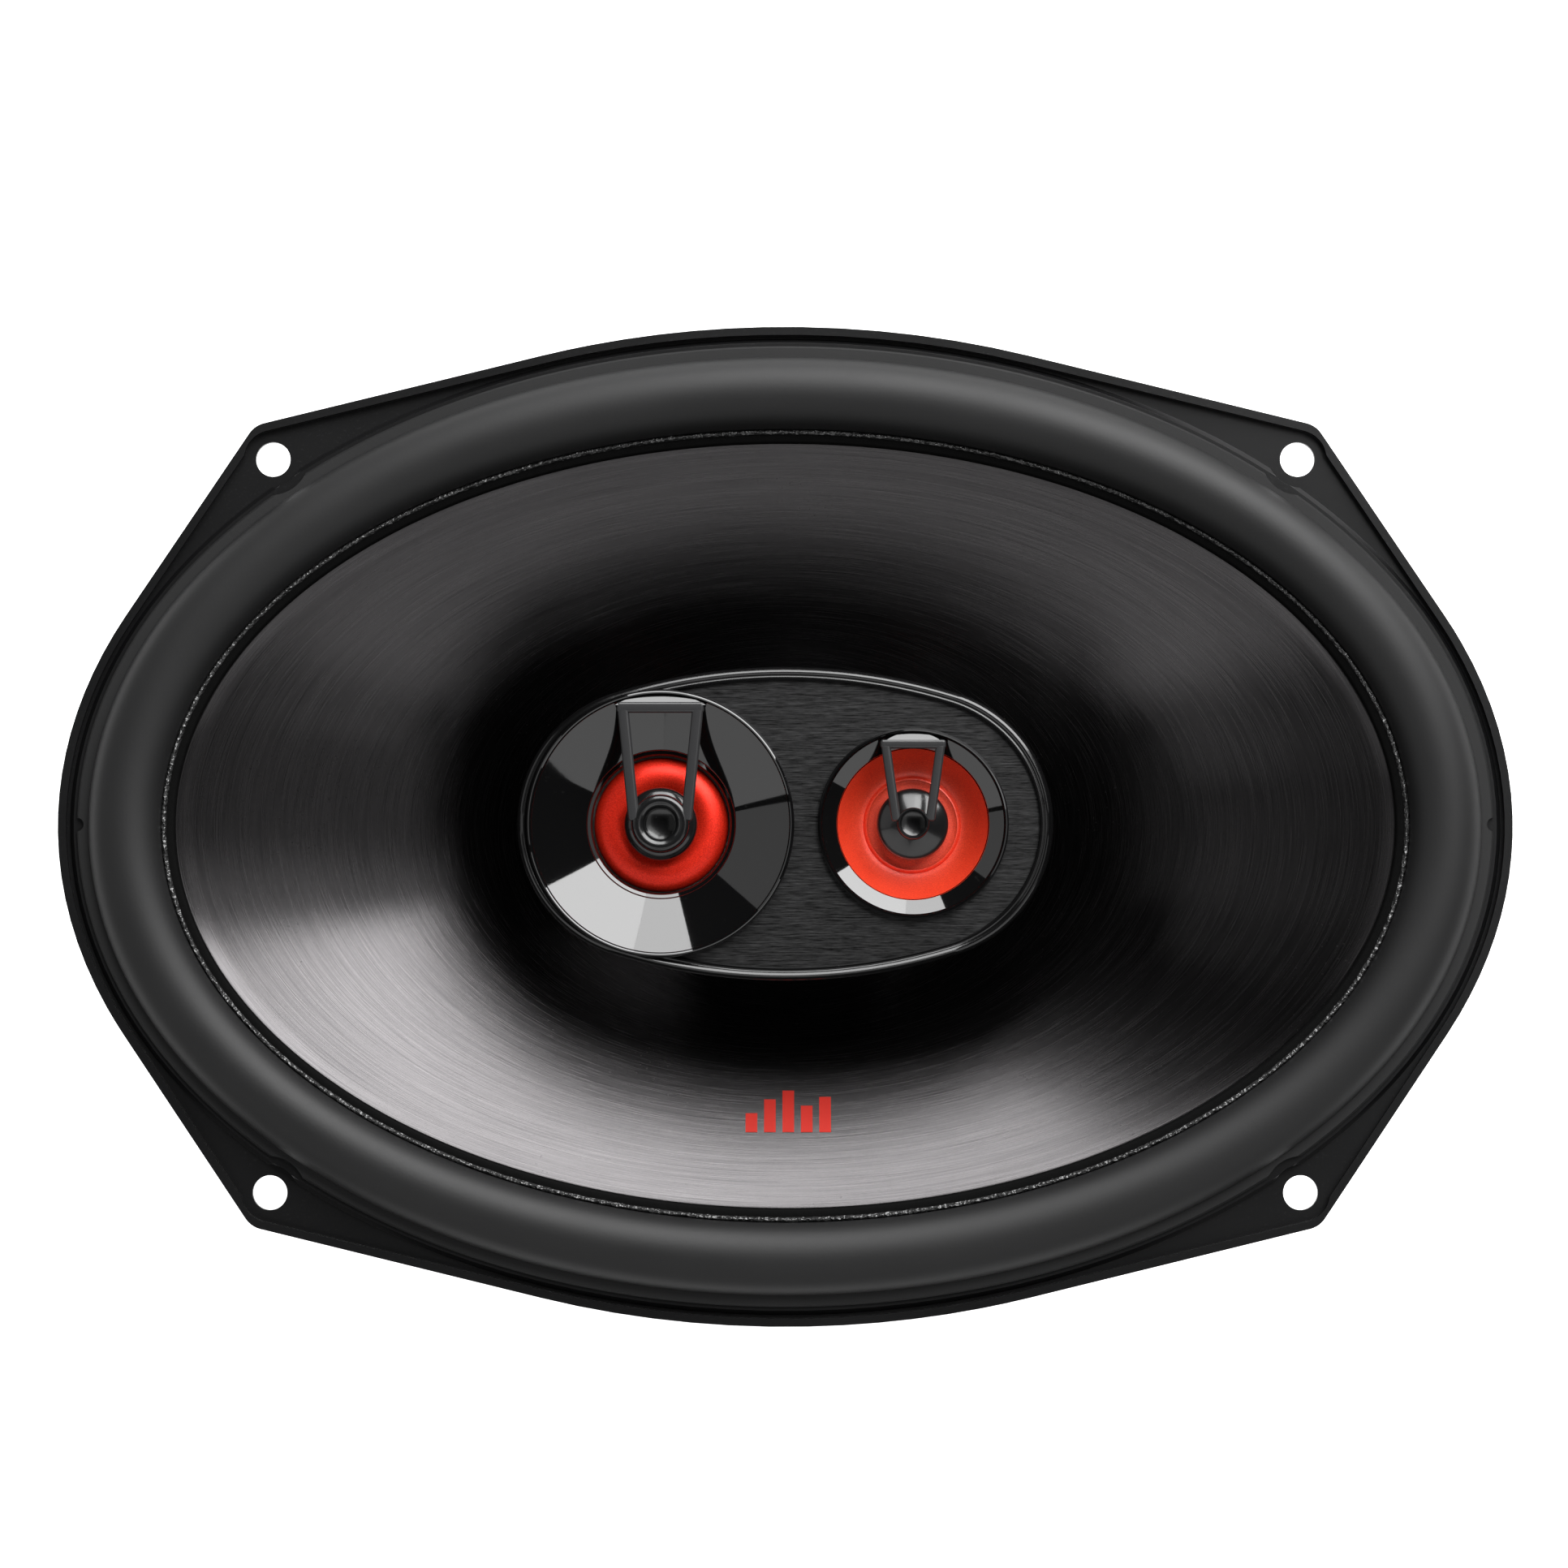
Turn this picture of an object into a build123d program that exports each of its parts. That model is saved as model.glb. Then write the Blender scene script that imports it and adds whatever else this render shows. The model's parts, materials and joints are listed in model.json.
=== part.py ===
from build123d import *
from math import acos, atan2, cos, degrees, pi, radians, sin, sqrt, tan
import os

# Three-way coaxial car speaker, 6 x 9 inch oval, built as separate pieces.
# +Z points out of the cone. The origin is the centre of the mounting plane, which is the
# rear face of the basket's flange. X runs along the long side. Millimetres throughout.

# ---------------------------------------------------------------- driving sizes
# basket
frame_length = 235.0
frame_width = 161.6
mounting_depth = 80.0           # mounting plane to the back of the boot
sheet = 1.2                     # pressed steel thickness
rim_width = 1.3                 # raised rim round the whole outline
rim_top = 2.6
rim_gap = 0.5                   # rim to the foot of the oval step
step_slope = 0.8                # horizontal run of the step's wall
step_top = 2.6
bolt_hole_radius = 2.8
bolt_hole_angle = 45.5          # eccentric angle of the bolt holes on the step's foot
bolt_hole_offset = 3.6          # foot of the step to the hole's centre
ear_margin_x = 2.9              # bolt hole to the ear's corner
ear_margin_y = 5.4
ear_corner_radius = 4.0
step_notch_radius = 4.6         # washer relief in the step
wall_inset = 7.8                # outline to the bowl's outer wall
wall_depth = 12.0               # depth of the steep band below the flange
wall_draft = 1.5
shoulder_drop = 3.0
shoulder_run = 2.5
leg_width = 15.0
window_corner = 5.0
window_margin = 2.0             # steel kept above and below each window
bead_radius = 2.6               # pressed stiffening bead on each leg
floor_side = 1.6                # taper of the motor pan's wall
ledge_margin = 2.4              # flat steel past the spider's edge
bend_run = 2.0                  # length of steel taken up by each pressed bend
pan_depth = 8.8                 # spider ledge to the motor pan's floor
rivet_shank_radius = 2.2
rivet_head_radius = 3.8
rivet_head_height = 1.3

# suspension
flange_inset = 0.6              # step's top edge to the surround's edge
surround_flange = 1.9
surround_notch_radius = 6.0
rubber = 0.8
roll_width = 11.7
roll_height = 5.2
roll_crest_flat = 0.6
glue_width = 2.5                # roll to the cone's own edge
spider_outer_radius = 51.0
spider_thickness = 0.5
spider_wave = 1.2               # corrugation amplitude
spider_waves = 6
spider_rim = 3.6

# cone and voice coil
cone_depth = 35.6
cone_wall = 0.9
cone_lip = 1.9
cone_flare = 1.3                # above 1 the wall steepens towards the neck
coil_inner_radius = 18.0        # outside of the former, inside of the winding
former_wall = 0.4
winding_thickness = 0.7
winding_height = 16.0
former_above_neck = 3.0
eyelet_radius = 1.8
eyelet_height = 2.6
eyelet_spacing = 18.0
eyelet_reach = 24.0             # cone axis to the eyelets, along the short side

# motor
pole_gap = 0.4                  # pole to former
bore_gap = 0.6                  # winding to top plate
top_plate_thickness = 6.0
plate_radius = 44.0
magnet_radius = 46.0
magnet_thickness = 17.0
magnet_bore_gap = 4.7           # top plate's bore to the magnet's bore
back_plate_thickness = 6.0
pole_rise = 0.5
boot_wall = 3.3
boot_back = 3.0
boot_clearance = 0.2
boot_cover_top = 2.0            # how far the boot reaches past the magnet's front face
boot_opening_radius = 14.0
boot_foot_chamfer = 1.0
nut_recess_radius = 13.0
nut_recess_depth = 3.0

# pod, its stem and wires
pod_half_length = 43.0
pod_half_width = 25.2
pod_end_radius = 22.0
pod_front = 9.2                 # rim of the pod above the mounting plane
pod_depth = 18.2
pod_wall = 1.8
pod_rim = 2.2
plate_recess = 1.2              # rim to face plate
plate_thickness = 1.6
fit_gap = 0.15
stem_radius = 9.0
stem_bore_radius = 3.6
stem_shank_radius = 6.0
stem_flange_radius = 12.0
stem_flange_thickness = 2.0
stem_screw_radius = 1.5
washer_thickness = 0.6
nut_thickness = 2.0
nut_across_flats = 17.0
wire_radius = 0.65
wire_pitch = 1.5
lead_radius = 0.8               # braided lead
capacitor_radius = 5.0
capacitor_length = 16.0
capacitor_angle = 70.0          # from +X round to the capacitors
pin_length = 1.6

# drivers in the pod
midrange_offset = 1.0           # pod's left end to the edge of the midrange bezel
midrange_bezel_radius = 22.0
tweeter_offset = 7.0            # pod's right end to the edge of the tweeter bezel
tweeter_bezel_radius = 15.5
bridge_seat = 1.2               # above the face plate
tweeter_bridge_seat = 0.7
bridge_thickness = 0.85

# terminals
board_width = 32.0
board_height = 18.0
board_thickness = 2.0
board_inset = 2.0               # bowl wall to the tab that carries the board
tab_width = 28.0
tab_height = 22.0
blade_spacing = 16.0
blade_thickness = 0.8
positive_blade_width = 6.3
negative_blade_width = 4.8
blade_reach = 9.0               # past the board's lower edge
lug_spacing = 22.0
lug_radius = 1.6
lug_tail = 2.2                  # rivet past the tab's inner face

# ---------------------------------------------------------------- derived places
half_length = frame_length / 2
half_width = frame_width / 2


def inset(amount):
    """Semi-axes of the oval that lies this far inside the frame's oval."""
    return half_length - amount, half_width - amount


step_foot = inset(rim_width + rim_gap)
step_edge = inset(rim_width + rim_gap + step_slope)
surround_inset = rim_width + rim_gap + step_slope + flange_inset
surround_edge = inset(surround_inset)
roll_middle = inset(surround_inset + surround_flange + roll_width / 2)
cone_edge = inset(surround_inset + surround_flange + roll_width + glue_width)
bowl_outer = inset(wall_inset)
bowl_inner = inset(wall_inset + sheet)

boot_back_z = -mounting_depth
back_plate_z = boot_back_z + boot_back
magnet_back_z = back_plate_z + back_plate_thickness
magnet_front_z = magnet_back_z + magnet_thickness
pan_bottom_z = magnet_front_z + top_plate_thickness
pan_floor_z = pan_bottom_z + sheet
ledge_z = pan_floor_z + pan_depth
pole_top_z = pan_bottom_z + pole_rise
gap_middle_z = magnet_front_z + top_plate_thickness / 2
leg_foot_z = ledge_z + 2.5
shoulder_z = -wall_depth - shoulder_drop

pole_radius = coil_inner_radius - former_wall - pole_gap
gap_bore_radius = coil_inner_radius + winding_thickness + bore_gap
magnet_bore_radius = gap_bore_radius + magnet_bore_gap
boot_inner_radius = magnet_radius + boot_clearance
boot_radius = boot_inner_radius + boot_wall
capacitor_top_z = ledge_z - sheet - 4.6
rivet_circle = (magnet_bore_radius + plate_radius) / 2
pan_radius = spider_outer_radius - spider_rim - 0.6
ledge_radius = spider_outer_radius + sheet + ledge_margin
spider_z = ledge_z + 0.05

cone_top_z = step_top
neck_z = cone_top_z - cone_depth

pod_floor_z = pod_front - pod_depth
face_z = pod_front - plate_recess
midrange_x = -(pod_half_length - midrange_offset - midrange_bezel_radius)
tweeter_x = pod_half_length - tweeter_offset - tweeter_bezel_radius

tab_y = -(bowl_outer[1] - board_inset)
tab_top_z = -wall_depth + 1.0
board_y = tab_y - board_thickness
board_top_z = tab_top_z - 5.0
board_bottom_z = board_top_z - board_height
lug_z = board_top_z - board_height / 2
lug_y = tab_y + sheet
channel_y = -(boot_radius - 1.2)
channel_back_z = boot_back_z + 1.3


# ---------------------------------------------------------------- helpers
def oval(axes, z):
    """Elliptical face with these semi-axes at height z."""
    return Plane.XY.offset(z) * Ellipse(*axes)


def oval_slab(axes, low, high):
    return extrude(oval(axes, low), high - low)


def oval_loft(sections, ruled=False):
    """Solid through elliptical sections, each (a, b, z)."""
    return loft([oval((a, b), z) for a, b, z in sections], ruled=ruled)


def disc(radius, low, high, x=0.0, y=0.0):
    return Pos(x, y, (low + high) / 2) * Cylinder(radius, high - low)


def tube(outer, inner, low, high, x=0.0, y=0.0):
    return disc(outer, low, high, x, y) - disc(inner, low - 1, high + 1, x, y)


def block(x0, x1, y0, y1, z0, z1):
    return Pos((x0 + x1) / 2, (y0 + y1) / 2, (z0 + z1) / 2) * Box(x1 - x0, y1 - y0, z1 - z0)


def turned(points, x=0.0):
    """Solid of revolution about the vertical line at x, from corner points (radius, z)."""
    outline = Plane.XZ * make_face(Polyline(*points, close=True))
    return Pos(x, 0, 0) * revolve(outline, Axis.Z)


def turned_skin(points, thickness, x=0.0):
    """Thin dome or cone: a smooth line of points (radius, z), given thickness downwards."""
    lower = [(r, z - thickness) for r, z in points]
    edges = [
        Spline(*points),
        Line(points[-1], lower[-1]),
        Spline(*lower),
        Line(lower[0], points[0]),
    ]
    return Pos(x, 0, 0) * revolve(Plane.XZ * make_face(edges), Axis.Z)


def rounded(sections):
    """The same run of sections with each inner corner eased by a short curve."""
    eased = [sections[0]]
    for before, corner, after in zip(sections, sections[1:], sections[2:]):
        near, middle, far = Vector(*before), Vector(*corner), Vector(*after)
        run = min(bend_run, 0.4 * (near - middle).length, 0.4 * (far - middle).length)
        start = tuple(middle + (near - middle).normalized() * run)
        end = tuple(middle + (far - middle).normalized() * run)
        for t in (0.0, 1 / 3, 2 / 3, 1.0):
            eased.append(
                tuple(
                    (1 - t) ** 2 * s + 2 * t * (1 - t) * c + t * t * e
                    for s, c, e in zip(start, corner, end)
                )
            )
    return eased + [sections[-1]]


def cord(points, radius, ends=None):
    """Round wire along straight runs joined by tangent arcs as large as the runs allow."""
    path = [Vector(*p) for p in points]
    radii = []
    for before, corner, after in zip(path, path[1:], path[2:]):
        arriving, leaving = corner - before, after - corner
        turn = radians(arriving.get_angle(leaving))
        radii.append(0.45 * min(arriving.length, leaving.length) / tan(turn / 2))
    line = FilletPolyline(*path, radius=radii)
    start = Plane(origin=line @ 0, z_dir=line % 0)
    made = sweep(start * Circle(radius), path=line)
    spare = made.volume / (pi * radius**2 * line.length)
    print(f"wire of {line.length:.1f} mm, radii {[round(r, 1) for r in radii]}, volume ratio {spare:.4f}")
    return made


def tangent_points(point, axes):
    """Where the two tangents from an outside point touch an ellipse."""
    u, v = point[0] / axes[0], point[1] / axes[1]
    middle, spread = atan2(v, u), acos(1 / sqrt(u * u + v * v))
    return [
        (axes[0] * cos(t), axes[1] * sin(t), degrees(t))
        for t in (middle - spread, middle + spread)
    ]


def bolt_hole():
    """Centre of the bolt hole in the +X +Y quarter."""
    t = radians(bolt_hole_angle)
    a, b = step_foot
    normal = Vector(cos(t) / a, sin(t) / b).normalized()
    return a * cos(t) + bolt_hole_offset * normal.X, b * sin(t) + bolt_hole_offset * normal.Y


def quarters(x, y):
    return [(x, y), (-x, y), (-x, -y), (x, -y)]


def frame_outline(inward):
    """The oval with four ears, drawn this far inside the outline."""
    axes = inset(inward)
    hole_x, hole_y = bolt_hole()
    corner = Vector(hole_x + ear_margin_x, hole_y + ear_margin_y)
    arms = [(Vector(x, y) - corner).normalized() for x, y, _ in tangent_points(tuple(corner)[:2], inset(0))]
    middle = (arms[0] + arms[1]).normalized()
    half_angle = radians(arms[0].get_angle(middle))
    corner += middle * (inward / sin(half_angle))
    radius = ear_corner_radius - inward
    low, high = tangent_points((corner.X, corner.Y), axes)
    edges = []
    for sx, sy in ((1, 1), (-1, 1), (-1, -1), (1, -1)):
        ends = [(sx * low[0], sy * low[1]), (sx * corner.X, sy * corner.Y), (sx * high[0], sy * high[1])]
        edges.append(FilletPolyline(*ends, radius=radius))
    sweep_end, sweep_side = 2 * low[2], 2 * (90 - high[2])
    for start, size in ((-low[2], sweep_end), (180 - low[2], sweep_end),
                        (high[2], sweep_side), (180 + high[2], sweep_side)):
        edges.append(EllipticalCenterArc((0, 0), *axes, start_angle=start, arc_size=size))
    return make_face([e for part in edges for e in part.edges()])


# ---------------------------------------------------------------- basket
def bowl_skin():
    """Outer skin of the bowl, from under the step down to the motor pan's floor."""
    a, b = bowl_outer
    low_a, low_b = a - wall_draft, b - wall_draft
    return rounded([
        (a, b, step_top - sheet / 2),
        (low_a, low_b, -wall_depth),
        (low_a - shoulder_run, low_b - shoulder_run, shoulder_z),
        (ledge_radius + 4.0, ledge_radius + 2.5, leg_foot_z),
        (ledge_radius, ledge_radius, ledge_z - sheet),
        (pan_radius, pan_radius, ledge_z - sheet),
        (pan_radius - floor_side, pan_radius - floor_side, pan_bottom_z),
    ])


def windows():
    """One rounded cutter for each gap between two legs."""
    top = shoulder_z - window_margin
    bottom = leg_foot_z + window_margin
    middle, height = (top + bottom) / 2, top - bottom
    near, far = 30.0, half_length + 10
    leg_angles = [0, 42, 90, 138, 180, 222, 270, 318, 360]
    cutters = []
    for first, last in zip(leg_angles, leg_angles[1:]):
        direction = radians((first + last) / 2)
        spread = radians(last - first) / 2
        faces = []
        for reach in (near, far):
            width = 2 * (reach * tan(spread) - leg_width / 2 / cos(spread))
            centre = (reach * cos(direction), reach * sin(direction), middle)
            along = Plane(origin=centre, x_dir=(-sin(direction), cos(direction), 0),
                          z_dir=(cos(direction), sin(direction), 0))
            faces.append(along * RectangleRounded(width, height, min(window_corner, 0.45 * width)))
        cutters.append(loft(faces))
    return cutters


def leg_beads():
    """A raised bead down the outside of each leg, clear of the terminal tab's leg."""
    top, foot = shoulder_z - 3.0, leg_foot_z + 2.0
    upper = (bowl_outer[0] - wall_draft - shoulder_run, bowl_outer[1] - wall_draft - shoulder_run)
    lower = (ledge_radius + 4.0, ledge_radius + 2.5)
    share_top = (shoulder_z - top) / (shoulder_z - leg_foot_z)
    share_foot = (shoulder_z - foot) / (shoulder_z - leg_foot_z)
    beads = []
    for angle in (0, 42, 90, 138, 180, 222, 318):
        c, s = cos(radians(angle)), sin(radians(angle))
        ends = []
        for share, z in ((share_top, top), (share_foot, foot)):
            a = upper[0] + share * (lower[0] - upper[0])
            b = upper[1] + share * (lower[1] - upper[1])
            r = 1 / sqrt((c / a) ** 2 + (s / b) ** 2) - 1.0
            ends.append(Vector(r * c, r * s, z))
        run = ends[1] - ends[0]
        along = Plane(origin=(ends[0] + ends[1]) / 2, z_dir=run)
        beads.append(along * Cylinder(bead_radius, run.length))
    return beads


def make_basket():
    plate = extrude(frame_outline(0), sheet)
    rim = extrude(frame_outline(0) - frame_outline(rim_width), rim_top)
    step = loft([oval(step_foot, sheet), oval(step_edge, step_top)])
    flange = plate + rim + step
    flange -= oval_slab(inset(rim_width + rim_gap + step_slope + sheet), -1, step_top - sheet)
    flange -= oval_slab(bowl_inner, -1, step_top + 1)

    skin = bowl_skin()
    inner = [(a - sheet, b - sheet, z + sheet) for a, b, z in skin]
    bowl = oval_loft(skin, ruled=True)
    hollow = oval_loft([(bowl_inner[0], bowl_inner[1], step_top + 3)] + inner, ruled=True)
    for bead in leg_beads():
        bowl += bead
    bowl -= hollow
    for window in windows():
        bowl -= window
    bowl -= disc(gap_bore_radius + 2.2, pan_bottom_z - 1, pan_floor_z + 1)

    basket = flange + bowl
    tab = block(-tab_width / 2, tab_width / 2, tab_y, tab_y + sheet, tab_top_z - tab_height, tab_top_z)
    basket += tab
    for x, y in quarters(*bolt_hole()):
        basket -= disc(bolt_hole_radius, -1, step_top + 1, x, y)
        basket -= disc(step_notch_radius, sheet, step_top + 1, x, y)
    for x, y in rivet_places():
        basket -= disc(rivet_shank_radius, pan_bottom_z - 1, pan_floor_z + 1, x, y)
    for x in (-lug_spacing / 2, lug_spacing / 2):
        basket -= Pos(x, tab_y, lug_z) * Rot(90, 0, 0) * Cylinder(lug_radius + 0.8, 8)
    return basket


def rivet_places():
    return [(rivet_circle * cos(radians(t)), rivet_circle * sin(radians(t))) for t in (45, 135, 225, 315)]


def make_motor_rivets():
    rivets = []
    for x, y in rivet_places():
        shank = disc(rivet_shank_radius, magnet_front_z + 0.5, pan_floor_z, x, y)
        head = disc(rivet_head_radius, pan_floor_z, pan_floor_z + rivet_head_height, x, y)
        head = fillet(head.edges().group_by(Axis.Z)[-1], 0.45 * rivet_head_height)
        rivets.append(shank + head)
    return Compound(rivets)


# ---------------------------------------------------------------- motor
def make_top_plate():
    plate = tube(plate_radius, gap_bore_radius, magnet_front_z, pan_bottom_z)
    for x, y in rivet_places():
        plate -= disc(rivet_shank_radius, magnet_front_z + 0.5, pan_bottom_z + 1, x, y)
    return chamfer(plate.edges().filter_by(GeomType.CIRCLE).sort_by(SortBy.RADIUS)[-2:], 0.6)


def make_magnet():
    ring = tube(magnet_radius, magnet_bore_radius, magnet_back_z, magnet_front_z)
    return chamfer(ring.edges().filter_by(GeomType.CIRCLE), 0.8)


def make_yoke():
    """Back plate and pole piece, one turned part with a bore for the pod's stem."""
    waist = pole_radius - 1.2
    undercut_z = magnet_front_z - 2.0
    return turned([
        (stem_shank_radius + 0.1, back_plate_z + nut_recess_depth),
        (nut_recess_radius, back_plate_z + nut_recess_depth),
        (nut_recess_radius, back_plate_z),
        (plate_radius - 1.0, back_plate_z),
        (plate_radius, back_plate_z + 1.0),
        (plate_radius, magnet_back_z),
        (waist, magnet_back_z),
        (waist, undercut_z - 1.2),
        (pole_radius, undercut_z),
        (pole_radius, pole_top_z - 0.8),
        (pole_radius - 0.8, pole_top_z),
        (stem_shank_radius + 0.1, pole_top_z),
    ])


def make_boot():
    """Moulded cover over the magnet, with a channel for the pod's wires."""
    top = magnet_front_z + boot_cover_top
    foot = boot_radius - boot_foot_chamfer
    shell = turned([
        (boot_opening_radius, boot_back_z),
        (foot, boot_back_z),
        (boot_radius, boot_back_z + boot_foot_chamfer),
        (boot_radius, top - 1.2),
        (boot_radius - 1.2, top),
        (boot_inner_radius, top),
        (boot_inner_radius, back_plate_z),
        (boot_opening_radius, back_plate_z),
    ])
    half = 1.5 * wire_pitch + 0.2
    shell -= block(-half, half, -boot_radius - 1, channel_y + wire_radius + 0.3, boot_back_z - 1, top + 1)
    shell -= block(-half, half, -boot_radius - 1, 0, boot_back_z - 1, channel_back_z + wire_radius + 0.3)
    turn = Pos(0, channel_y + wire_radius, channel_back_z + wire_radius) * Rot(0, 90, 0)
    return shell - turn * Cylinder(2.4, 2 * half)


# ---------------------------------------------------------------- cone assembly
def cone_sections(shift=0.0):
    """Front face of the cone: an oval mouth that becomes the round neck."""
    sections = []
    steps = 8
    for i in range(steps + 1):
        s = i / steps
        a = coil_inner_radius + s * (cone_edge[0] - coil_inner_radius)
        b = coil_inner_radius + s * (cone_edge[1] - coil_inner_radius)
        z = neck_z + cone_depth * (1 - (1 - s) ** cone_flare)
        sections.append((a, b, z + shift))
    return sections


def cone_rear():
    """Everything in front of the cone's rear face."""
    return oval_loft(cone_sections(-cone_wall))


def make_cone():
    lip = (cone_edge[0] + cone_lip, cone_edge[1] + cone_lip)
    shell = cone_rear() + oval_slab(lip, cone_top_z - cone_wall, cone_top_z)
    shell -= oval_loft(cone_sections())
    shell += disc(coil_inner_radius + 1.4, neck_z - 2.5, neck_z + 0.6)
    shell -= disc(coil_inner_radius, neck_z - 5, neck_z + 5)
    return shell


def make_former():
    bottom = gap_middle_z - winding_height / 2 - 1.0
    return tube(coil_inner_radius, coil_inner_radius - former_wall, bottom, neck_z + former_above_neck)


def make_winding():
    low = gap_middle_z - winding_height / 2
    return tube(coil_inner_radius + winding_thickness, coil_inner_radius, low, low + winding_height)


def eyelet_base_z():
    """Underside of the solder eyelets."""
    reach = sqrt(eyelet_reach**2 + (eyelet_spacing / 2) ** 2)
    share = (reach - coil_inner_radius) / (cone_edge[1] - coil_inner_radius)
    return neck_z + cone_depth * (1 - (1 - share) ** cone_flare) - cone_wall - eyelet_height


def make_eyelets():
    low = eyelet_base_z()
    made = [
        (disc(eyelet_radius, low, low + 8, x, -eyelet_reach) - cone_rear()).solids().sort_by(Axis.Z)[0]
        for x in (-eyelet_spacing / 2, eyelet_spacing / 2)
    ]
    return Compound(made)


# ---------------------------------------------------------------- suspension
def ridge(width, height, low, start):
    """Oval ring with a half-round top, its middle line on the roll's middle."""
    angles = [radians(t) for t in (0, 18, 36, 54, 72, 90)]
    flat = roll_crest_flat / 2
    reach = width / 2 - flat

    def section(t, side):
        run = side * (flat + reach * cos(t))
        return roll_middle[0] + run, roll_middle[1] + run, start + height * sin(t)

    outside = oval_loft([section(t, 1) for t in angles])
    inside = oval_loft([section(t, -1) for t in angles])
    if low < start:
        outside += oval_slab(section(0, 1)[:2], low, start)
        inside += oval_slab(section(0, -1)[:2], low, start)
    return outside - inside


def make_surround():
    top = step_top + rubber
    outer = oval_slab(surround_edge, step_top, top) - oval_slab(roll_middle, step_top - 1, top + 1)
    inner_edge = (cone_edge[0] + 0.8, cone_edge[1] + 0.8)
    inner = oval_slab(roll_middle, step_top, top) - oval_slab(inner_edge, step_top - 1, top + 1)
    rubber_ring = outer + inner + ridge(roll_width, roll_height, top, top)
    rubber_ring -= ridge(roll_width - 2 * rubber, roll_height - rubber, step_top - 1, top)
    for x, y in quarters(*bolt_hole()):
        rubber_ring -= disc(surround_notch_radius, step_top - 1, top + 1, x, y)
    for x in (-surround_edge[0], surround_edge[0]):
        rubber_ring -= disc(1.1, step_top - 1, top + 1, x)
    return rubber_ring


def make_spider():
    """Corrugated cloth disc from the former to the basket's ledge."""
    inner, outer = coil_inner_radius, spider_outer_radius - spider_rim
    middle_z = spider_z + spider_wave
    length = (outer - inner - 1.5) / spider_waves
    steps = 8 * spider_waves
    line = [(inner, middle_z)]
    for i in range(steps + 1):
        r = inner + 1.5 + length * spider_waves * i / steps
        line.append((r, middle_z + spider_wave * sin(2 * pi * (r - inner - 1.5) / length)))
    waves = turned_skin(line, spider_thickness)
    rim_low = spider_z
    rim = turned([
        (outer, middle_z - spider_thickness),
        (outer, middle_z),
        (outer + 1.0, rim_low + spider_thickness),
        (spider_outer_radius, rim_low + spider_thickness),
        (spider_outer_radius, rim_low),
        (outer + 0.8, rim_low),
    ])
    return waves + rim


# ---------------------------------------------------------------- pod
def pod_oval(inward, z):
    """Oval of four arcs, two round ends and two long sides."""
    end_x = pod_half_length - pod_end_radius
    end_r = pod_end_radius - inward
    side = (end_x**2 + pod_half_width**2 - pod_end_radius**2) / (2 * (pod_half_width - pod_end_radius))
    side_r = side - inward
    side_y = pod_half_width - side
    lean = degrees(atan2(-side_y, end_x))
    arcs = [
        CenterArc((end_x, 0), end_r, -lean, 2 * lean),
        CenterArc((0, side_y), side_r, lean, 180 - 2 * lean),
        CenterArc((-end_x, 0), end_r, 180 - lean, 2 * lean),
        CenterArc((0, -side_y), side_r, 180 + lean, 180 - 2 * lean),
    ]
    return Plane.XY.offset(z) * make_face(arcs)


def pod_slab(inward, low, high):
    return extrude(pod_oval(inward, low), high - low)


def make_pod_housing():
    seat_z = face_z - plate_thickness
    shell = pod_slab(0, pod_floor_z + 9, pod_front)
    shell += loft(
        [pod_oval(9, pod_floor_z), pod_oval(1.5, pod_floor_z + 6), pod_oval(0, pod_floor_z + 9)], ruled=True
    )
    shell = fillet(shell.edges().group_by(Axis.Z)[-1], 0.9)
    shell -= pod_slab(pod_rim, seat_z, pod_front + 1)
    shell -= pod_slab(pod_rim + 1.2, pod_floor_z + 9, seat_z + 1)
    shell -= loft([pod_oval(9 + pod_wall, pod_floor_z + pod_wall), pod_oval(pod_rim + 1.2, pod_floor_z + 9)])
    shell -= disc(midrange_bezel_radius + 0.1, seat_z - 1.4, pod_front + 1, midrange_x)
    shell -= disc(stem_bore_radius, pod_floor_z - 1, pod_floor_z + 6)
    for x in pod_screw_places():
        shell -= disc(stem_screw_radius, pod_floor_z - 1, pod_floor_z + 6, x)
    return shell


def pod_screw_places():
    reach = (stem_flange_radius + stem_bore_radius) / 2
    return -reach, reach


def make_face_plate():
    plate = pod_slab(pod_rim + fit_gap, face_z - plate_thickness, face_z)
    plate = chamfer(plate.edges().group_by(Axis.Z)[-1], 0.3)
    plate -= disc(midrange_bezel_radius + fit_gap, face_z - 5, face_z + 1, midrange_x)
    return plate - disc(tweeter_bezel_radius - 1.0 + fit_gap, face_z - 5, face_z + 1, tweeter_x)


def make_midrange_bezel():
    """Glossy dish round the midrange dome, with a skirt that holds its motor."""
    r, z = midrange_bezel_radius, face_z
    return turned([
        (r, z - 3.0), (r, z + 1.6), (r - 0.35, z + 2.05), (r - 0.9, z + 2.05),
        (r - 1.4, z + bridge_seat), (r - 1.9, z + bridge_seat), (r - 10.1, z - 4.4), (r - 10.6, z - 5.2),
        (r - 10.8, z - 12.0), (r - 9.4, z - 12.0), (r - 9.4, z - 6.0), (r - 2.6, z - 1.6),
        (r - 2.6, z - 3.0),
    ], midrange_x)


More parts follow.
